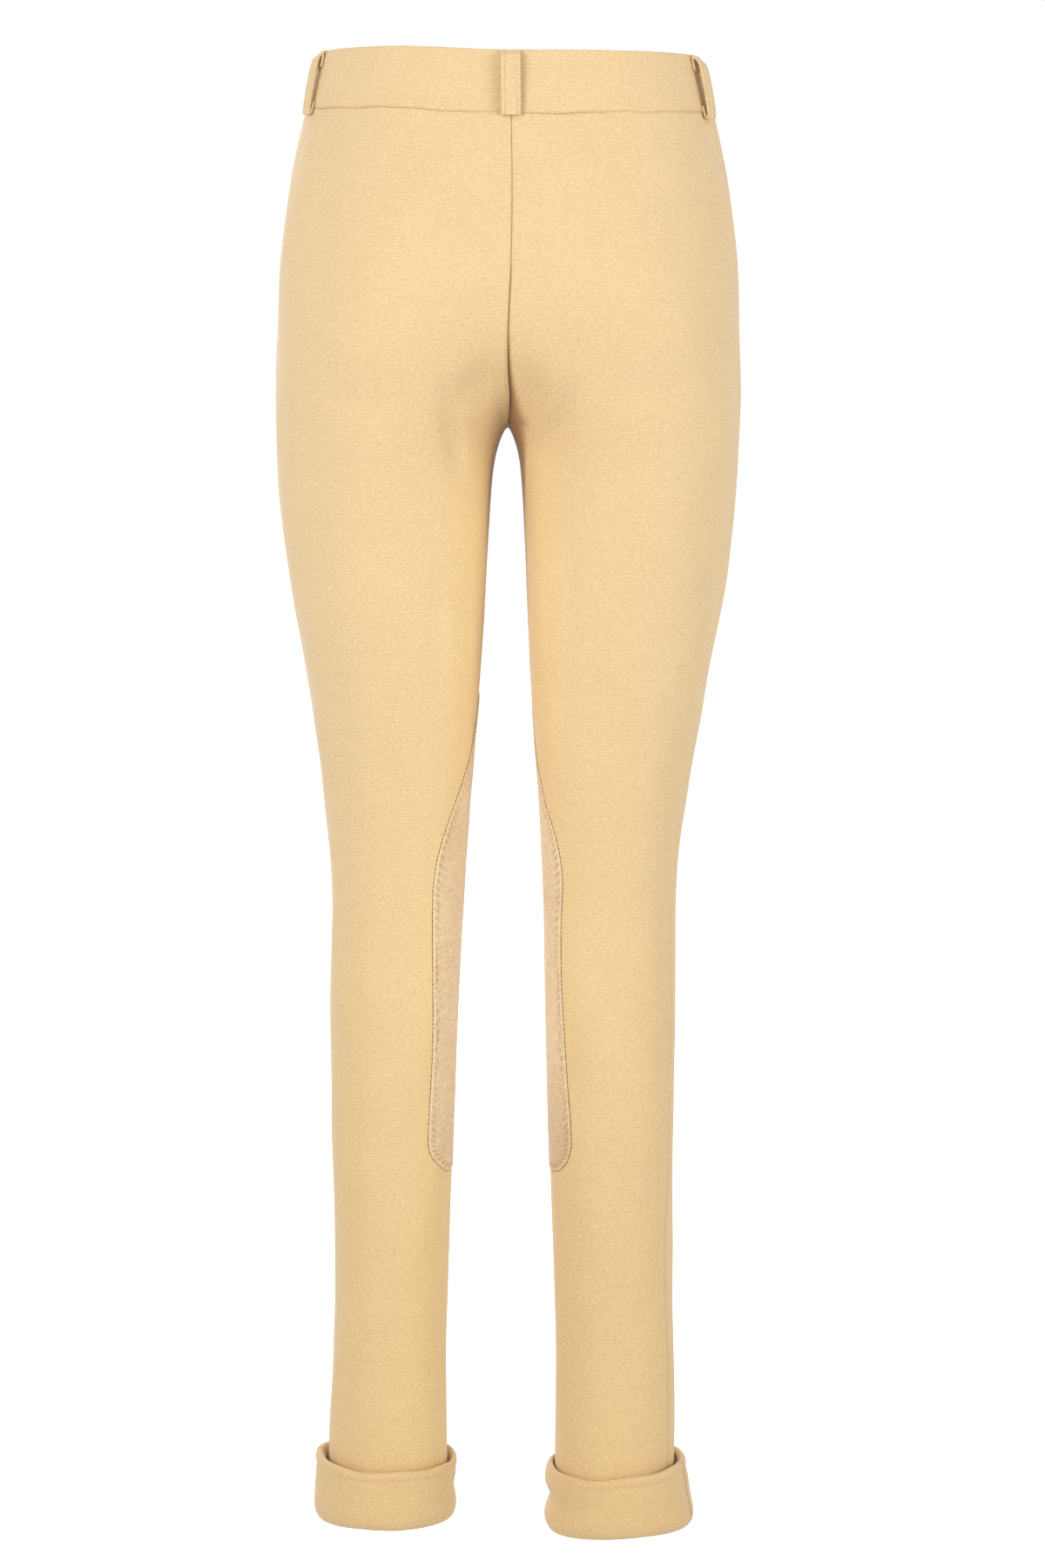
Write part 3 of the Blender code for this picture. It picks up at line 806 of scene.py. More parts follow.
def new_material(name, shader_settings):
    """A material with only its shader and output. Returns it, its node tree and its shader."""
    material = bpy.data.materials.new(name)
    material.use_nodes = True
    tree = material.node_tree
    tree.nodes.clear()
    shader = add_node(tree, "ShaderNodeBsdfPrincipled", shader_settings)
    add_node(tree, "ShaderNodeOutputMaterial", links={"Surface": shader.outputs["BSDF"]})
    return material, tree, shader


def new_textile(name, roughness, specular, sheen):
    """A matt material with a fuzzy sheen of this weight and roughness, and its flat coordinates."""
    surface = {"Roughness": roughness, "Specular IOR Level": specular}
    fuzz = {"Sheen Weight": sheen[0], "Sheen Roughness": sheen[1]}
    material, tree, shader = new_material(name, {**surface, **fuzz})
    flat = add_node(tree, "ShaderNodeUVMap", {"uv_map": "flat"}).outputs["UV"]
    return material, tree, shader, flat


def noise_on(tree, flat, across, down, detail):
    """Noise whose grains are this many millimetres across and down the flat cloth, from 0 to 1."""
    scale = {"Scale": (1 / (across * MM), 1 / (down * MM), 1)}
    placed = add_node(tree, "ShaderNodeMapping", scale, {"Vector": flat}).outputs["Vector"]
    settings = {"Scale": 1.0, "Detail": detail, "Roughness": 0.6}
    return add_node(tree, "ShaderNodeTexNoise", settings, {"Vector": placed}).outputs["Fac"]


def blend_of(tree, *shares):
    """Adds up outputs that lie around a half, each times its weight, around a half again."""
    total = {}
    for output, weight in shares:
        centred = add_node(tree, "ShaderNodeMath", {"operation": "SUBTRACT", 1: 0.5}, {0: output})
        settings = {"operation": "MULTIPLY_ADD", 1: weight, 2: 0.5}
        links = {0: centred.outputs[0], **total}
        total = {2: add_node(tree, "ShaderNodeMath", settings, links).outputs[0]}
    return total[2]


def dress(tree, shader, colour, height, strength, depth):
    """Gives a cloth's shader its colour and its bumps."""
    settings = {"Strength": strength, "Distance": depth}
    bumps = add_node(tree, "ShaderNodeBump", settings, {"Height": height})
    tree.links.new(colour, shader.inputs["Base Color"])
    tree.links.new(bumps.outputs["Normal"], shader.inputs["Normal"])


def knit_material(sizes, colours):
    """Cotton rib knit, worn with its ribs level. Each rib is a soft bead of loops, matt and
    slightly fuzzy. The yarn is a little mixed in shade, so it shows short level flecks. The real
    ribs are about 1.4 mm apart, too fine for a render of the whole garment, so they are drawn
    coarser.
    """
    material, tree, shader, flat = new_textile("cotton_rib_knit", 0.88, 0.25, (0.30, 0.5))
    settings = {
        "bands_direction": "Y",
        "Scale": WAVE_PERIOD / sizes.rib_pitch,
        "Distortion": 2.2,
        "Detail": 1.0,
        "Detail Scale": 0.35,
    }
    ribs = add_node(tree, "ShaderNodeTexWave", settings, {"Vector": flat}).outputs["Fac"]
    flecks, patches, mottle = (noise_on(tree, flat, *grain) for grain in KNIT_GRAINS)
    share = blend_of(tree, (ribs, 0.10), (flecks, 1.25), (patches, 0.2), (mottle, 0.15))
    yarns = {"data_type": "RGBA", 6: (*colours.knit_dark, 1), 7: (*colours.knit_light, 1)}
    colour = add_node(tree, "ShaderNodeMix", yarns, {0: share}).outputs[2]
    # painted shade makes the knit darker and warmer towards the hems, where the light falls off,
    # and around the fold between the thighs; painted light makes it paler inside the leg; and
    # painted shade darkens it in folds and along seams
    painted_fold_warmth, painted_inner_light, painted_shade = (
        add_node(tree, "ShaderNodeAttribute", {"attribute_name": name}).outputs["Fac"]
        for name in ("painted_fold_warmth", "painted_inner_light", "painted_shade")
    )
    place = add_node(tree, "ShaderNodeTexCoord").outputs["Object"]
    level = add_node(tree, "ShaderNodeSeparateXYZ", links={0: place}).outputs["Z"]
    # painted shade: darker and warmer towards the hems, where the light falls off
    hems = {"From Min": -0.35, "From Max": -1.0}
    lower = add_node(tree, "ShaderNodeMapRange", hems, {"Value": level}).outputs["Result"]
    most = {"operation": "MAXIMUM"}
    painted_warm_shade = add_node(tree, "ShaderNodeMath", most, {0: lower, 1: painted_fold_warmth}).outputs[0]
    for share, tint in ((painted_warm_shade, KNIT_PAINTED_SHADE_TINT), (painted_inner_light, KNIT_PAINTED_LIGHT_TINT), (painted_shade, colours.knit_painted_shade)):
        settings = {"data_type": "RGBA", "blend_type": "MULTIPLY", 7: (*tint, 1)}
        colour = add_node(tree, "ShaderNodeMix", settings, {0: share, 6: colour}).outputs[2]
    dress(tree, shader, colour, blend_of(tree, (ribs, 0.35), (flecks, 0.6)), 0.55, sizes.rib_depth)
    return material


def suede_material(colours):
    """Suede, a split hide with a short brushed nap: matt, pinker than the knit, in fine specks and
    broader patches where the nap lies one way or the other. The specks are drawn about twice as
    coarse as real.
    """
    material, tree, shader, flat = new_textile("brushed_suede", 0.95, 0.2, (0.35, 0.6))
    specks, nap, broad = (noise_on(tree, flat, *grain) for grain in SUEDE_GRAINS)
    share = blend_of(tree, (specks, 1.8), (nap, 0.9), (broad, 0.35))
    # the nap attribute holds painted shade in the stitch pulls, a little lighter rim, and a
    # darkening towards the patch's bottom
    worn = add_node(tree, "ShaderNodeAttribute", {"attribute_name": "nap"}).outputs["Fac"]
    share = add_node(tree, "ShaderNodeMath", {"operation": "ADD"}, {0: share, 1: worn}).outputs[0]
    naps = {"data_type": "RGBA", 6: (*colours.suede_dark, 1), 7: (*colours.suede_light, 1)}
    colour = add_node(tree, "ShaderNodeMix", naps, {0: share}).outputs[2]
    # painted shade: a darker colour mixed in at the stitch pulls
    pulls = {"From Max": -1.0, "To Max": 0.75}
    sunk = add_node(tree, "ShaderNodeMapRange", pulls, {"Value": worn}).outputs["Result"]
    settings = {"data_type": "RGBA", 7: (*colours.suede_pull_shade, 1)}
    colour = add_node(tree, "ShaderNodeMix", settings, {0: sunk, 6: colour}).outputs[2]
    dress(tree, shader, colour, blend_of(tree, (specks, 0.8), (nap, 0.3)), 0.5, 0.25 * MM)
    return material


def thread_material(name, colour, contrast):
    """Twisted polyester thread: slightly smoother than the cloth, its shade uneven along it."""
    gloss = {"Roughness": 0.7, "Specular IOR Level": 0.35, "Sheen Weight": 0.15}
    material, tree, shader = new_material(name, gloss)
    place = add_node(tree, "ShaderNodeTexCoord").outputs["Object"]
    twist = {"Scale": 1 / (1.2 * MM), "Detail": 1.0}
    grain = add_node(tree, "ShaderNodeTexNoise", twist, {"Vector": place}).outputs["Fac"]
    darker = (*(c * (1 - contrast) for c in colour), 1)
    settings = {"data_type": "RGBA", 6: darker, 7: (*colour, 1)}
    mix = add_node(tree, "ShaderNodeMix", settings, {0: grain})
    tree.links.new(mix.outputs[2], shader.inputs["Base Color"])
    return material


# ---------------------------------------------------------------- pieces


def panel_ends(side, part):
    """Heights of a panel's rows at their outseam end and at their inner end, from the top down."""
    leg = LEGS[side]
    heights = CROTCH + (BAND_BOTTOM - CROTCH) * np.linspace(1, 0, SEAT_SEAM_POINTS) ** 2
    seam = leg.read(leg.edge_of(part, heights), heights)[0]
    along = lengths_along(seam)
    above = np.interp(np.linspace(0, along[-1], ROWS_ABOVE_CROTCH + 1), along, heights)
    above_outseam = np.linspace(BAND_BOTTOM, CROTCH - ROW_DROP, len(above))
    shares = np.linspace(0, 1, ROWS_BELOW_CROTCH + 1)[1:] ** ROW_CROWDING
    below = CROTCH + (LEG_ENDS[side] - CROTCH) * shares
    below_outseam = below - ROW_DROP * np.exp((below - CROTCH) / ROW_DROP_FADE)
    below_outseam[-1] = LEG_ENDS[side]
    return np.concatenate([above_outseam, below_outseam]), np.concatenate([above, below])


def crowded(columns, crowding):
    """Shares across a piece, crowded towards its two edges."""
    even = np.linspace(0, 1, columns + 1)[None]
    return even - crowding * np.sin(2 * np.pi * even) / (2 * np.pi)


def make_panel(side, part, sizes, finish):
    """A leg panel, cut to the curves of the band's seam and the cuff, with its edges turned in."""
    leg = LEGS[side]
    at_outseam, at_inner = (ends[:, None] for ends in panel_ends(side, part))
    reach = leg.edge_of(part, at_inner)
    inset = (SEAM_GAP + EDGE_RADIUS) * np.sign(reach)
    shares = crowded(PANEL_COLUMNS, PANEL_CROWDING)
    heights = at_outseam * (1 - shares) + at_inner * shares
    lengths = inset * (1 - shares) + (reach - inset) * shares
    level = leg.read(lengths, heights)[0]
    heights = heights - SEAM_GAP - BAND_EDGE_RADIUS
    heights = heights + waist_rise(level[..., 0], 1) * np.exp((heights - BAND_BOTTOM) / CUT_FADE)
    fade = np.exp((LEG_ENDS[side] - heights) / CUT_FADE)
    heights = heights + cuff_rise(side, level, LEG_END) * fade
    points = cloth_at(leg, lengths, heights)[0]
    outs = directions_out(points)
    if reach[0, 0] < 0:  # rows run clockwise, as the lengths do
        points, outs, lengths, heights = (a[:, ::-1] for a in (points, -outs, lengths, heights))
    # seam allowances at the sides and under the band
    inner_last = reach[0, 0] > 0
    for at_inner in (inner_last, not inner_last):
        ways = None
        if at_inner:
            outward = outs[:, -1]
            level_in = unit(-outward * (0, 1, 1))
            clear = smooth((points[:, -1, 2] - CROTCH) / (8 * MM))[:, None]
            ways = unit(-outward + (level_in + outward) * clear)
        wide = turned_in(points, outs, lengths, ALLOWANCE, ways)
        if at_inner:
            pressed_to_middle(side, wide[0], ROWS_ABOVE_CROTCH + 3)
        more = np.repeat(heights[:, -1:], TURNED_COLUMNS, axis=1)
        tall = np.concatenate([heights, more], axis=1)
        points, outs, lengths, heights = (a[:, ::-1] for a in (*wide, tall))
    upright = [a.swapaxes(0, 1)[:, ::-1] for a in (points, outs, heights)]
    tall = turned_in(*upright, ALLOWANCE, radius=BAND_EDGE_RADIUS)
    points, outs, heights = (a[:, ::-1].swapaxes(0, 1) for a in tall)
    lengths = np.concatenate([np.repeat(lengths[:1], TURNED_COLUMNS, axis=0), lengths])
    flat = np.stack([lengths, heights], axis=2)
    node = f"{part}_{SIDE_NAMES[side]}"
    piece = shell(f"cloth_{node}", points, outs, sizes.knit_wall, flat, finish)
    for shade_name, values in painted_light_and_shade_at(leg, part, points, lengths, heights).items():
        store_on(piece, shade_name, values)
    return finished(piece, node)


def painted_light_and_shade_at(leg, part, points, lengths, heights):
    """Painted light and shade on a panel's knit, each from 0 to 1. Painted shade darkens it along
    its centre seam and in the fold between the thighs, more on the right side than on the left, and
    warms it around the fold, as light bounced between the thighs would. Painted light makes it
    paler down the inside of the leg. The numbers are shares and millimetres.
    """
    to_seam = np.abs(lengths - leg.edge_of(part, heights)) / MM
    rise = (heights - CROTCH) / MM
    inmost = np.interp(-heights, -leg.heights, (leg.side * leg.table[..., 0]).min(axis=1))
    inside = np.maximum(leg.side * points[..., 0] - inmost, 0) / MM
    above = smooth(rise / 3 + 0.5)
    line = above * smooth(1 - (rise - 30) / 60)
    # painted light: paler down the inside of the leg, where the other leg shades it
    painted_inner_light = bump(inside, 26) * smooth((12 - rise) / 45)
    # seam and fold are painted shade, along the centre seam and in the fold between the thighs
    if leg.side == LEFT:
        low = smooth(1 - (rise - 4) / 40)
        seam = 0.25 * above * low * bump(to_seam, 5 + 9 * low) + 0.1 * line * bump(to_seam, 1.8)
        fold = 0.2 + 0.3 * smooth((-rise - 12) / 18)
        wide = 4 * np.exp(-np.abs(rise) / 50)
        painted_inner_light = painted_inner_light * (1 - 0.5 * smooth((-rise - 340) / 300))
    else:
        seam = 0.35 * line * bump(to_seam, 2.4)
        fold = 1
        wide = 11.5 * np.exp(-np.abs(rise - 3) / 22)
        painted_inner_light = 0.65 * painted_inner_light * smooth((rise + 560) / 200)
    fold = fold * smooth((rise + 100) / 40) * smooth(1.5 - inside / wide)
    # painted warm shade around the fold between the thighs, as of light bounced between them
    painted_fold_warmth = 0.65 * bump(inside, 40) * smooth((110 - rise) / 90) * smooth((rise + 30) / 45)
    return {"painted_shade": np.maximum(seam, fold), "painted_fold_warmth": painted_fold_warmth, "painted_inner_light": painted_inner_light}


def ring_lengths(leg, height, columns):
    """Lengths round one side's outline at a height, evenly spread and clear of its two ends."""
    first, last = leg.ends(height)
    return first + (last - first) * ((np.arange(columns) + 0.5) / columns)


def round_waist(leg, height, share, columns):
    """Points and vectors out round a side's form, raised as the band is at this share down it."""
    lengths = ring_lengths(leg, height, columns)
    across = leg.read(lengths, height)[0][..., 0]
    return leg.read(lengths, height + waist_rise(across, share))


def make_waistband(finish):
    """A strip folded double along the top: up inside, over, down outside and in at the seam."""
    rows = []
    for out, height in smooth_path(BAND_PATH, PATH_STEPS):
        share = (BAND_TOP - height) / (BAND_TOP - BAND_BOTTOM)
        halves = [round_waist(leg, height, share, BAND_COLUMNS // 2) for leg in LEGS.values()]
        row, outs = (np.concatenate(half) for half in zip(*halves))
        around = np.linspace(0, 2 * np.pi, len(row), endpoint=False)
        gathers = np.sin(97 * around + 2.1 * np.sin(11 * around))
        gathers = gathers * bump(height - BAND_BOTTOM, 6 * MM)
        wander = 0.35 * np.sin(5 * around + 0.6) + 0.25 * np.sin(13 * around + 30 * share)
        proud = out + (0.22 * gathers + wander * share * (1 - share) * 2) * MM
        rows.append(row + outs * proud[:, None])
    return finished(ring_shell("cloth_waistband", np.array(rows), BAND_WALL, finish), "waistband")


def cuff_rows(side):
    """The rows of a turn-up: its hem behind the lip, down outside the leg, under, and up inside."""
    leg = LEGS[side]
    rows = []
    for out, height in smooth_path(CUFF_PATH, PATH_STEPS):
        level = CUFF_BOTTOM[side] + height
        share = np.clip(height / CUFF_HEIGHT, 0, 1)
        on_face = out > CUFF_FACE
        lengths = ring_lengths(leg, level, CUFF_COLUMNS)
        row, outward = leg.read(lengths, level)
        outward = unit(outward * (1, 1, 0))
        facing = side * outward[:, 0]
        angle = np.arctan2(outward[:, 1], facing)
        proud = out * (1 + CUFF_FULLNESS * facing * (out > 0))
        for dent in CUFF_DENTS:
            if dent.side == side:
                apart = (angle - np.radians(dent.angle) + np.pi) % (2 * np.pi) - np.pi
                near = bump(apart, np.radians(dent.spread))
                near = near * bump(height / MM - dent.height, dent.tall)
                proud = proud - dent.depth * MM * near * on_face
        wander = 0.5 * np.sin(2 * angle + 1 + side) + 0.3 * np.sin(5 * angle + 3 * share)
        corner = CUFF_CORNER[side] * np.clip(facing, 0, 1) ** 2 * bump(height, CUFF_CORNER_TALL)
        seam = CUFF_SEAM_SUNK * bump(lengths - CUFF_SEAM_SHIFT[side], 1.1 * MM) * on_face
        proud = proud + wander * MM * smooth(out / (5 * MM)) + corner - seam
        row = row + outward * proud[:, None]
        lip = 0.7 * np.sin(3 * angle + side) + 0.4 * np.sin(7 * angle + 2 * side)
        row[:, 2] = level + cuff_rise(side, row, height) + lip * MM * smooth((share - 0.6) / 0.4)
        row[:, 2] -= CUFF_CORNER_DROP * corner
        rows.append(row)
    return np.array(rows)


def make_cuff(side, finish):
    """A turn-up, with its seam sunk in, painted shade along that seam and a little over the whole
    turn-up.
    """
    points = cuff_rows(side)
    piece = ring_shell(f"cloth_cuff_{SIDE_NAMES[side]}", points, CUFF_WALL, finish)
    lengths = ring_lengths(LEGS[side], CUFF_BOTTOM[side], CUFF_COLUMNS)
    seam = bump(lengths - CUFF_SEAM_SHIFT[side], 0.9 * MM)
    # painted shade: darker along the seam's groove, and a little over the whole turn-up
    store_on(piece, "painted_shade", np.broadcast_to(0.05 + 0.6 * seam, points.shape[:2]))
    return finished(piece, f"cuff_{SIDE_NAMES[side]}")


def patch_outline(side):
    """A patch's height, back and front at rows from its top to its bottom, in metres."""
    back = f"back_{SIDE_NAMES[side]}"
    rows = np.array([(row.height, getattr(row, back), row.front) for row in PATCH_ROWS]) * MM
    place = np.linspace(0, len(rows) - 1, PATCH_LENGTHWISE)
    lower = np.clip(place.astype(int), 0, len(rows) - 2)
    return on_curve(rows, np.gradient(rows, axis=0), lower, (place - lower)[:, None])


def patch_border(outline):
    """The patch's border as (reach, height): down its back edge, along its bottom and up."""
    height, back, front = outline.T
    bottom = np.linspace(back[-1], front[-1], PATCH_BOTTOM_POINTS)[1:-1]
    down = np.stack([back, height], axis=1)
    across = np.stack([bottom, np.full(len(bottom), height[-1])], axis=1)
    up = np.stack([front, height], axis=1)[::-1]
    return np.concatenate([down, across, up])


def to_border(border, reach, heights):
    """How far places on a patch lie from its border, and how far along it the nearest is."""
    dense = taken(border, spaced(border, BORDER_STEP))
    nearest, along = np.full(reach.shape, np.inf), np.zeros(reach.shape)
    for k, (across, height) in enumerate(dense):
        apart = (reach - across) ** 2 + (heights - height) ** 2
        along = np.where(apart < nearest, k * BORDER_STEP, along)
        nearest = np.minimum(nearest, apart)
    return np.sqrt(nearest), along


def border_relief(inside, along, downward):
    """The sewn border of a patch: how far it stands out in millimetres, and how much its suede's
    colour shifts. A plump rim outside the stitches, drawn a little lighter, then slanting pulls
    that the stitches draw into the suede, uneven in depth and darkened as painted shade.
    """
    slanted = along - downward * PULL_SLANT * (inside - PULL_INSET)
    uneven = 0.35 * np.sin(slanted / (17 * MM)) + 0.2 * np.sin(slanted / (7 * MM) + 2)
    depth = 0.7 + 0.3 * np.sin(slanted / (29 * MM) + 1) * np.sin(slanted / (11 * MM))
    across = np.clip(np.cos(2 * np.pi * (slanted / PULL_PITCH + uneven)), 0, 1) ** 2.2
    pulls = depth * across * bump(inside - PULL_INSET, PULL_REACH)
    rim = bump(inside - 1.1 * MM, 0.9 * MM)
    beyond = bump(inside - 6.0 * MM, 2.2 * MM)
    puckers = np.sin(slanted / (1.1 * MM)) * bump(inside - 9 * MM, 6 * MM)
    # the second value shifts the suede's colour: a little lighter on the rim, and painted shade in
    # the pulls
    return 0.16 * rim - 0.55 * pulls + 0.1 * beyond + 0.03 * puckers, 0.1 * rim - pulls


def make_knee_patch(side, sizes, finish):
    """A suede patch that lies flat over the inseam, with its border sewn down."""
    leg = LEGS[side]
    outline = patch_outline(side)
    shares = crowded(PATCH_COLUMNS, PATCH_CROWDING)
    height, back, front = (column[:, None] for column in outline.T)
    reach = (front + (back - front) * shares)[:, ::side]
    heights = np.broadcast_to(height, reach.shape)
    inside, along = to_border(patch_border(outline), reach, heights)
    rolled = 1 - np.exp(-inside / (0.7 * MM))
    relief_of, nap = border_relief(inside, along, np.where(reach > (back + front) / 2, 1, -1))
    lift = sizes.patch_proud * (0.35 + 0.65 * rolled) + relief_of * MM
    points = cloth_at(leg, leg.inseam_length(reach, heights), heights, lift, seams=False)[0]
    flat = np.stack([side * reach, heights], axis=2)
    name = f"suede_patch_{SIDE_NAMES[side]}"
    wall = sizes.patch_proud + PATCH_SINK
    piece = shell(name, points, directions_out(points), wall, flat, finish)
    # the suede is drawn darker towards the patch's bottom; the nap attribute also holds the
    # border's painted shade in the pulls and its lighter rim
    worn = PATCH_DARKER[side] * smooth((PATCH_DARKER_TOP - heights) / PATCH_DARKER_TALL)
    store_on(piece, "nap", nap - worn)
    return finished(piece, f"knee_patch_{SIDE_NAMES[side]}")


def border_on_leg(side, inset, lift):
    """The line this far inside a patch's border and above the knit: its points and vectors out."""
    leg = LEGS[side]
    border = patch_border(patch_outline(side))
    along = np.gradient(border, axis=0)
    inward = unit(np.stack([along[:, 1], -along[:, 0]], axis=1))
    reach, heights = (border + inward * inset).T
    return cloth_at(leg, leg.inseam_length(reach, heights), heights, lift, seams=False)


def make_patch_stitches(side, sizes, stitch, light, dark):
    """Chain stitches along the border, and the dark thread that catches its edge to the knit and
    also stands in for the shadow along that edge.
    """
    rng = np.random.default_rng(SEED + side)
    made = []
    for name, kind, finish in (("chain", CHAIN_STITCH, light), ("edge", EDGE_STITCH, dark)):
        line = border_on_leg(side, kind.inset, sizes.patch_proud * (1 - kind.depth))
        centres, forwards, outs = row_of_stitches(*line, kind.pitch or sizes.stitch_pitch)
        forwards, outs = unit(forwards), unit(outs)
        turns = kind.jitter * rng.normal(size=len(centres))[:, None]
        forwards = forwards * np.cos(turns) + np.cross(outs, forwards) * np.sin(turns)
        spread = rng.uniform(*STITCH_SPREAD, (len(centres), 1))
        name = f"stitches_{name}_{SIDE_NAMES[side]}"
        rows = [(centres, forwards, outs)]
        made.append(sewn(name, stitch, rows, kind.size, finish, spread))
    return made


def across_band(place, height, offsets):
    """Points of the band's face beside a belt loop's middle, and the vector out there."""
    leg, other = LEGS[place.side], LEGS[-place.side]
    first, last = (float(end) for end in leg.ends(np.array(height)))
    other_first, other_last = (float(end) for end in other.ends(np.array(height)))
    middle = (first if place.side == LEFT else last) + place.side * place.share * (last - first)
    points = []
    for length in middle + np.asarray(offsets):
        on, at = leg, length
        if length < first:  # over the centre seam, on the other side's cloth
            on, at = other, other_last + length - first
        elif length > last:
            on, at = other, other_first + length - last
        across = on.read(at, height)[0][0]
        points.append(on.read(at, height + left_rise(across))[0])
    return np.array(points), leg.read(middle, height)[1]


def loop_frames(place):
    """A belt loop's strip: its middle line, the directions across it, and out of its face."""
    path = smooth_path(LOOP_PATH, LOOP_STEPS)
    high = path[:, 1].max()
    middles, acrosses = [], []
    for out, height in path:
        ends, outward = across_band(place, height, (-LOOP_WIDTH / 2, LOOP_WIDTH / 2))
        across = unit(ends[1] - ends[0])
        away = unit(np.cross(across, (0, 0, -1)))
        away = away * np.sign(away @ outward)
        strip = smooth((out - 1.5 * MM) / (2.5 * MM))
        held = 0.5 * strip * bump(high - height, place.ease * MM) + (1 - place.slack) * strip
        turn = np.radians(place.twist) * strip * place.side
        drop = place.drop * MM * smooth(1 - (high - height) / LOOP_TOP_TALL) * np.array((0, 0, 1))
        middles.append((ends[0] + ends[1]) / 2 + away * out * (1 - held) - drop / 2)
        across = across * np.cos(turn) + away * np.sin(turn)
        acrosses.append(across - place.side * drop / LOOP_WIDTH)
    middles, acrosses = np.array(middles), np.array(acrosses)
    faces = unit(np.cross(np.gradient(middles, axis=0), acrosses))
    flip = np.sign(np.sum(faces * (middles - middles.mean(axis=0)), axis=1).sum())
    return middles, acrosses, faces * flip


def make_belt_loop(name, place, finish):
    """A strip folded from the knit, its edges stitched down, its ends curled in under it."""
    middles, acrosses, faces = loop_frames(place)
    half, thick = LOOP_WIDTH / 2, LOOP_THICK / 2
    across = np.linspace(-half + thick, half - thick, LOOP_FACE_POINTS)
    sunk = 0.28 * MM * bump(np.abs(across) - (half - LOOP_STITCH.inset), 0.7 * MM)
    turn = np.linspace(-np.pi / 2, np.pi / 2, LOOP_EDGE_POINTS)[1:-1]
    face = np.stack([across, thick - sunk], axis=1)
    edge = np.stack([half - thick + thick * np.cos(turn), -thick * np.sin(turn)], axis=1)
    profile = np.concatenate([face, edge, -face, -edge])
    rng = np.random.default_rng(SEED + len(name))
    pinch = 1 + 0.03 * np.sin(np.arange(len(middles)) * 1.3 + rng.uniform(0, 6))
    beside = acrosses[:, None] * profile[None, :, :1] * pinch[:, None, None]
    points = middles[:, None] + beside + faces[:, None] * profile[None, :, 1:]
    number = numbered(*points.shape[:2], closed=True)
    flat = laid_flat(np.append(profile[:, 0], profile[0, 0]), lengths_along(middles))
    corners, order = (
        [*quads(grid).tolist(), grid[0, -2::-1].tolist(), grid[-1, :-1].tolist()]
        for grid in (number, numbered(*number.shape))
    )
    places = flat.reshape(-1, 2)[np.concatenate(order)]
    piece = add_piece(f"cloth_{name}", points, corners, finish, places)
    bpy.ops.object.select_all(action="DESELECT")
    piece.select_set(True)
    bpy.context.view_layer.objects.active = piece
    edit_whole(bpy.ops.mesh.normals_make_consistent, inside=False)
    return finished(piece, name)


def make_loop_stitches(name, place, stitch, finish):
    """Two rows of short stitches down the face of a belt loop."""
    middles, acrosses, faces = loop_frames(place)
    beside, above = LOOP_WIDTH / 2 - LOOP_STITCH.inset, LOOP_THICK / 2 - LOOP_STITCH.depth
    lines = (middles + acrosses * edge * beside + faces * above for edge in (-1, 1))
    rows = [row_of_stitches(line, faces, LOOP_STITCH.pitch) for line in lines]
    return sewn(f"stitches_{name}", stitch, rows, LOOP_STITCH.size, finish)


def make_band_stitches(stitch, finish):
    """The seam between band and panels: short stitches that just show in its groove."""
    rows = []
    for leg in LEGS.values():
        line, outs = round_waist(leg, BAND_BOTTOM, 1, BAND_SEAM_POINTS)
        rows.append(row_of_stitches(line - outs * BAND_STITCH.depth, outs, BAND_STITCH.pitch))
    return sewn("stitches_waistband", stitch, rows, BAND_STITCH.size, finish)


# ---------------------------------------------------------------- stage


def add_softbox(name, place, target, size, watts):
    turn = (Vector(target) - Vector(place)).to_track_quat("-Z", "Y").to_euler()
    bpy.ops.object.light_add(type="AREA", location=place, rotation=turn)
    light = bpy.context.active_object
    light.name = name
    light.data.shape = "DISK"
    light.data.size = size
    light.data.energy = watts


def make_world():
    """Even surroundings, pure white to the camera, that light the cloth more softly."""
    world = bpy.data.worlds.new("white_studio")
    bpy.context.scene.world = world
    world.use_nodes = True
    tree = world.node_tree
    tree.nodes.clear()
    seen = add_node(tree, "ShaderNodeLightPath").outputs["Is Camera Ray"]
    levels = {"To Min": WORLD_LIGHT, "To Max": 1.0}
    level = add_node(tree, "ShaderNodeMapRange", levels, {"Value": seen}).outputs["Result"]
    sky = add_node(tree, "ShaderNodeBackground", {"Color": (1, 1, 1, 1)}, {"Strength": level})
    add_node(tree, "ShaderNodeOutputWorld", links={"Surface": sky.outputs["Background"]})


def make_floor(colours):
    """A wide, very light floor below the hems, where the wearer's feet would stand."""
    bpy.ops.object.select_all(action="DESELECT")
    bpy.ops.mesh.primitive_circle_add(vertices=96, radius=FLOOR_RADIUS, fill_type="NGON")
    floor = bpy.context.active_object
    floor.name = "studio_floor"
    edit_whole(bpy.ops.transform.translate, value=(0, 0, FLOOR_HEIGHT))
    paper = {
        "Base Color": (*colours.floor, 1),
        "Roughness": 0.9,
        "Specular IOR Level": 0.1,
        "Emission Color": (1, 1, 1, 1),
        "Emission Strength": 0.5,
    }
    floor.data.materials.append(new_material("matt_white_backdrop_paper", paper)[0])
    floor.visible_diffuse = False


def make_camera():
    turn = (np.pi / 2 - np.radians(CAMERA_TILT), 0, np.pi)
    bpy.ops.object.camera_add(location=CAMERA_PLACE, rotation=turn)
    camera = bpy.context.active_object
    camera.name = "camera"
    camera.data.lens = CAMERA_LENS
    camera.data.clip_start, camera.data.clip_end = 0.05, 60
    bpy.context.scene.camera = camera


# ---------------------------------------------------------------- add-on


def metres(name, description, default, least):
    about = {"name": name, "description": description, "default": default, "min": least}
    return FloatProperty(**about, unit="LENGTH", precision=5)


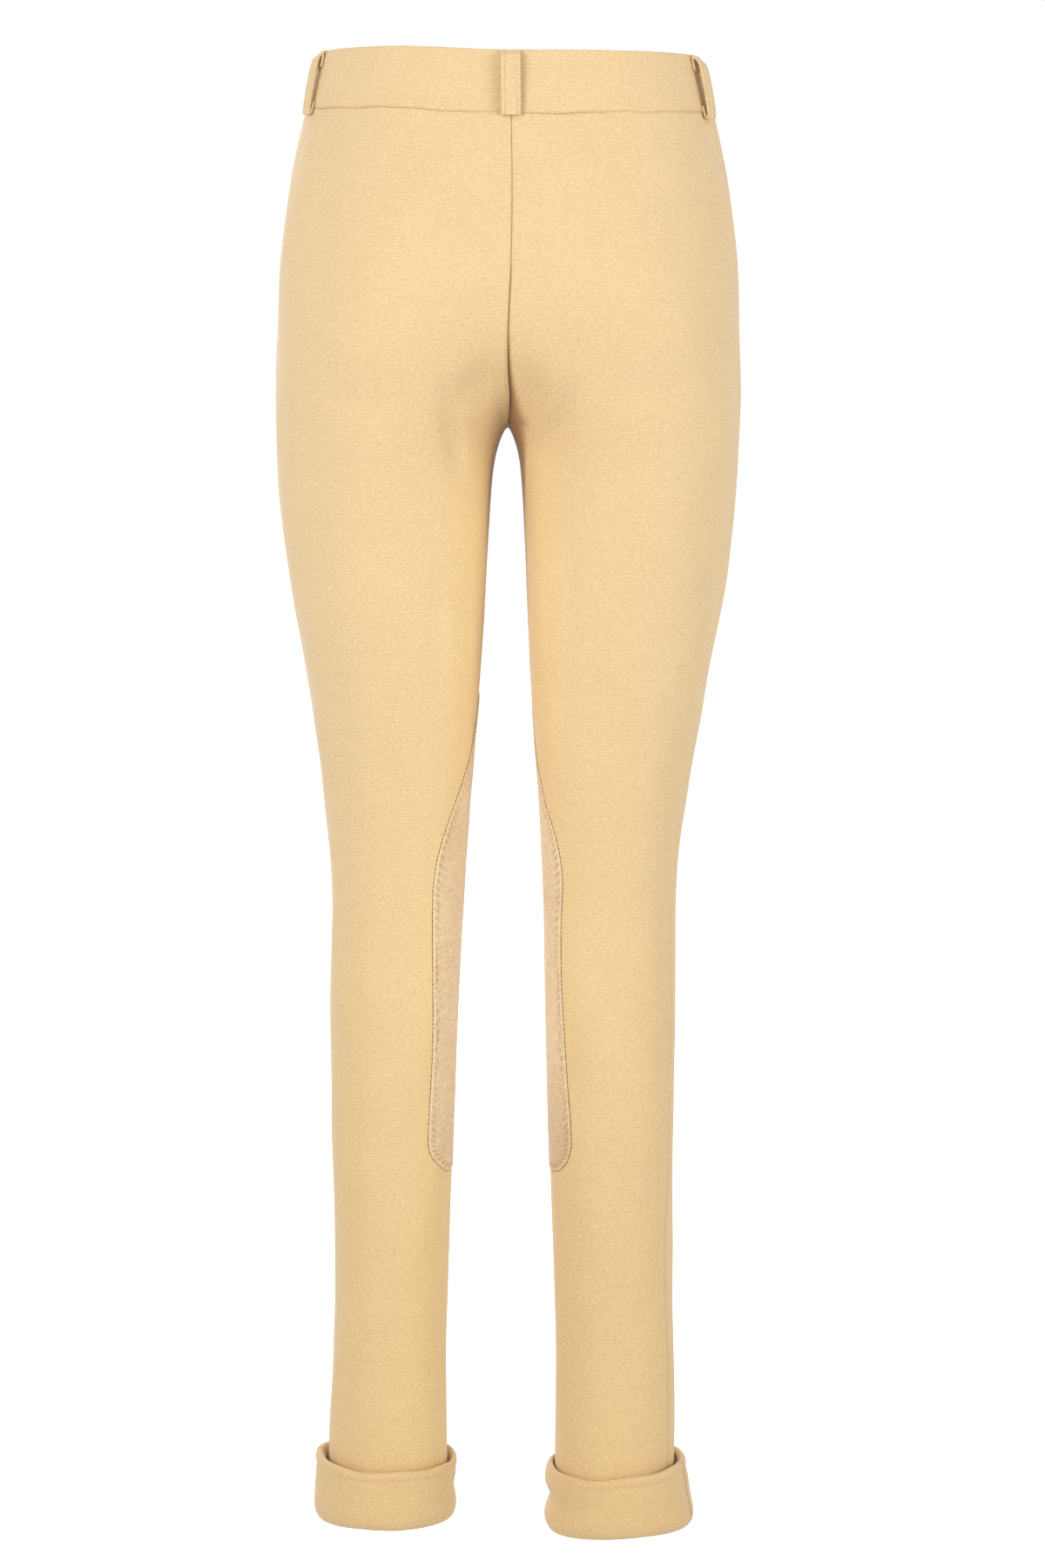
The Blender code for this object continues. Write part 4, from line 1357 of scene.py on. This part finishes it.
def shade(name, description, default):
    about = {"name": name, "description": description, "default": linear(default)}
    return FloatVectorProperty(**about, subtype="COLOR", size=3, min=0, max=1)


class JodhpursSizes(bpy.types.PropertyGroup):
    knit_wall: metres("Knit wall", "Thickness of the knit", 1.2 * MM, 0.5 * MM)
    rib_pitch: metres("Rib pitch", "From one rib of the knit to the next", 2.3 * MM, 0.5 * MM)
    rib_depth: metres("Rib depth", "How deep the ribs look", 0.35 * MM, 0)
    patch_proud: metres("Patch height", "How far the suede stands proud", 0.9 * MM, 0.2 * MM)
    stitch_pitch: metres("Stitch pitch", "Between the stitches round a patch", 3.1 * MM, 1 * MM)


class JodhpursColours(bpy.types.PropertyGroup):
    knit_light: shade("Knit, light", "Lightest yarn of the knit", "#EDD3A2")
    knit_dark: shade("Knit, dark", "Darkest yarn of the knit", "#CFAD7E")
    # painted shade in folds and along seams
    knit_painted_shade: shade("Knit, pressed", "Multiplies the knit's colour in folds", "#B08F58")
    suede_light: shade("Suede, light", "Suede where the nap catches the light", "#F0DAB2")
    suede_dark: shade("Suede, dark", "Suede where the nap lies away", "#CFAD83")
    # painted shade in the stitch pulls
    suede_pull_shade: shade("Suede, sunk", "Suede where the stitching pulls it in", "#A5814F")
    thread_light: shade("Thread, light", "Thread of the chain stitches", "#EDD2A4")
    thread_edge_and_shadow: shade("Thread, dark", "Thread at the patches' edges", "#8F653A")
    # dark thread that also stands in for the shadow along the patches' edges
    thread_band: shade("Thread, band", "Thread in the waistband's seam", "#CDA46E")
    thread_loops: shade("Thread, loops", "Thread down the belt loops", "#DDB981")
    floor: shade("Floor", "The studio's floor", "#F2F1EE")


class JODHPURS_OT_cloth(bpy.types.Operator):
    """Sews the four leg panels and the waistband in ribbed knit"""

    bl_idname = "jodhpurs.cloth"
    bl_label = "Panels and waistband"

    def execute(self, context):
        sizes, colours = context.scene.jodhpurs_sizes, context.scene.jodhpurs_colours
        knit = knit_material(sizes, colours)
        thread = thread_material("seam_thread", colours.thread_band, 0.3)
        band = make_waistband(knit)
        stitches = make_band_stitches(model_stitch(), thread)
        for (part, side), (flat, area) in PANEL_CUTS.items():
            panel = make_panel(side, part, sizes, knit)
        return {"FINISHED"}


class JODHPURS_OT_patches(bpy.types.Operator):
    """Sews the suede patches over the inner knees"""

    bl_idname = "jodhpurs.patches"
    bl_label = "Knee patches"

    def execute(self, context):
        sizes, colours = context.scene.jodhpurs_sizes, context.scene.jodhpurs_colours
        suede = suede_material(colours)
        light = thread_material("patch_thread", colours.thread_light, 0.15)
        dark = thread_material("patch_edge_thread_and_shadow", colours.thread_edge_and_shadow, 0.3)
        stitch = model_stitch()
        for side, panels in LEG_PANELS.items():
            patch = make_knee_patch(side, sizes, suede)
            make_patch_stitches(side, sizes, stitch, light, dark)
        return {"FINISHED"}


class JODHPURS_OT_cuffs(bpy.types.Operator):
    """Turns up the ends of the legs"""

    bl_idname = "jodhpurs.cuffs"
    bl_label = "Turn-up cuffs"

    def execute(self, context):
        knit = bpy.data.materials["cotton_rib_knit"]
        for side, panels in LEG_PANELS.items():
            make_cuff(side, knit)
        return {"FINISHED"}


class JODHPURS_OT_belt_loops(bpy.types.Operator):
    """Tacks the belt loops to the waistband"""

    bl_idname = "jodhpurs.belt_loops"
    bl_label = "Belt loops"

    def execute(self, context):
        knit = bpy.data.materials["cotton_rib_knit"]
        thread = thread_material("loop_thread", context.scene.jodhpurs_colours.thread_loops, 0.3)
        stitch = model_stitch()
        for name, place in LOOP_PLACES.items():
            loop = make_belt_loop(name, place, knit)
            make_loop_stitches(name, place, stitch, thread)
        return {"FINISHED"}


class JODHPURS_OT_stage(bpy.types.Operator):
    """Sets up the white studio, its lamps and the camera"""

    bl_idname = "jodhpurs.stage"
    bl_label = "Studio"

    def execute(self, context):
        make_camera()
        make_world()
        make_floor(context.scene.jodhpurs_colours)
        for box in SOFTBOXES:
            add_softbox(*box)
        context.scene.view_settings.view_transform = "Standard"
        return {"FINISHED"}


class JODHPURS_PT_sidebar(bpy.types.Panel):
    """Lists the pieces and the sizes and colours to change"""

    bl_idname = "JODHPURS_PT_sidebar"
    bl_label = "Jodhpurs"
    bl_space_type = "VIEW_3D"
    bl_region_type = "UI"
    bl_category = "Jodhpurs"

    def draw(self, context):
        layout = self.layout
        for operator in OPERATORS:
            layout.operator(operator.bl_idname)
        for group in (context.scene.jodhpurs_sizes, context.scene.jodhpurs_colours):
            for name in group.__annotations__:
                layout.prop(group, name)


OPERATORS = (
    JODHPURS_OT_stage,
    JODHPURS_OT_cloth,
    JODHPURS_OT_patches,
    JODHPURS_OT_cuffs,
    JODHPURS_OT_belt_loops,
)
CLASSES = (JodhpursSizes, JodhpursColours, *OPERATORS, JODHPURS_PT_sidebar)


def register():
    for cls in CLASSES:
        bpy.utils.register_class(cls)
    bpy.types.Scene.jodhpurs_sizes = PointerProperty(type=JodhpursSizes)
    bpy.types.Scene.jodhpurs_colours = PointerProperty(type=JodhpursColours)


def unregister():
    del bpy.types.Scene.jodhpurs_colours
    del bpy.types.Scene.jodhpurs_sizes
    for cls in reversed(CLASSES):
        bpy.utils.unregister_class(cls)


def main():
    register()
    bpy.ops.jodhpurs.stage()
    bpy.ops.jodhpurs.cloth()
    bpy.ops.jodhpurs.patches()
    bpy.ops.jodhpurs.cuffs()
    bpy.ops.jodhpurs.belt_loops()


if __name__ == "__main__":
    main()
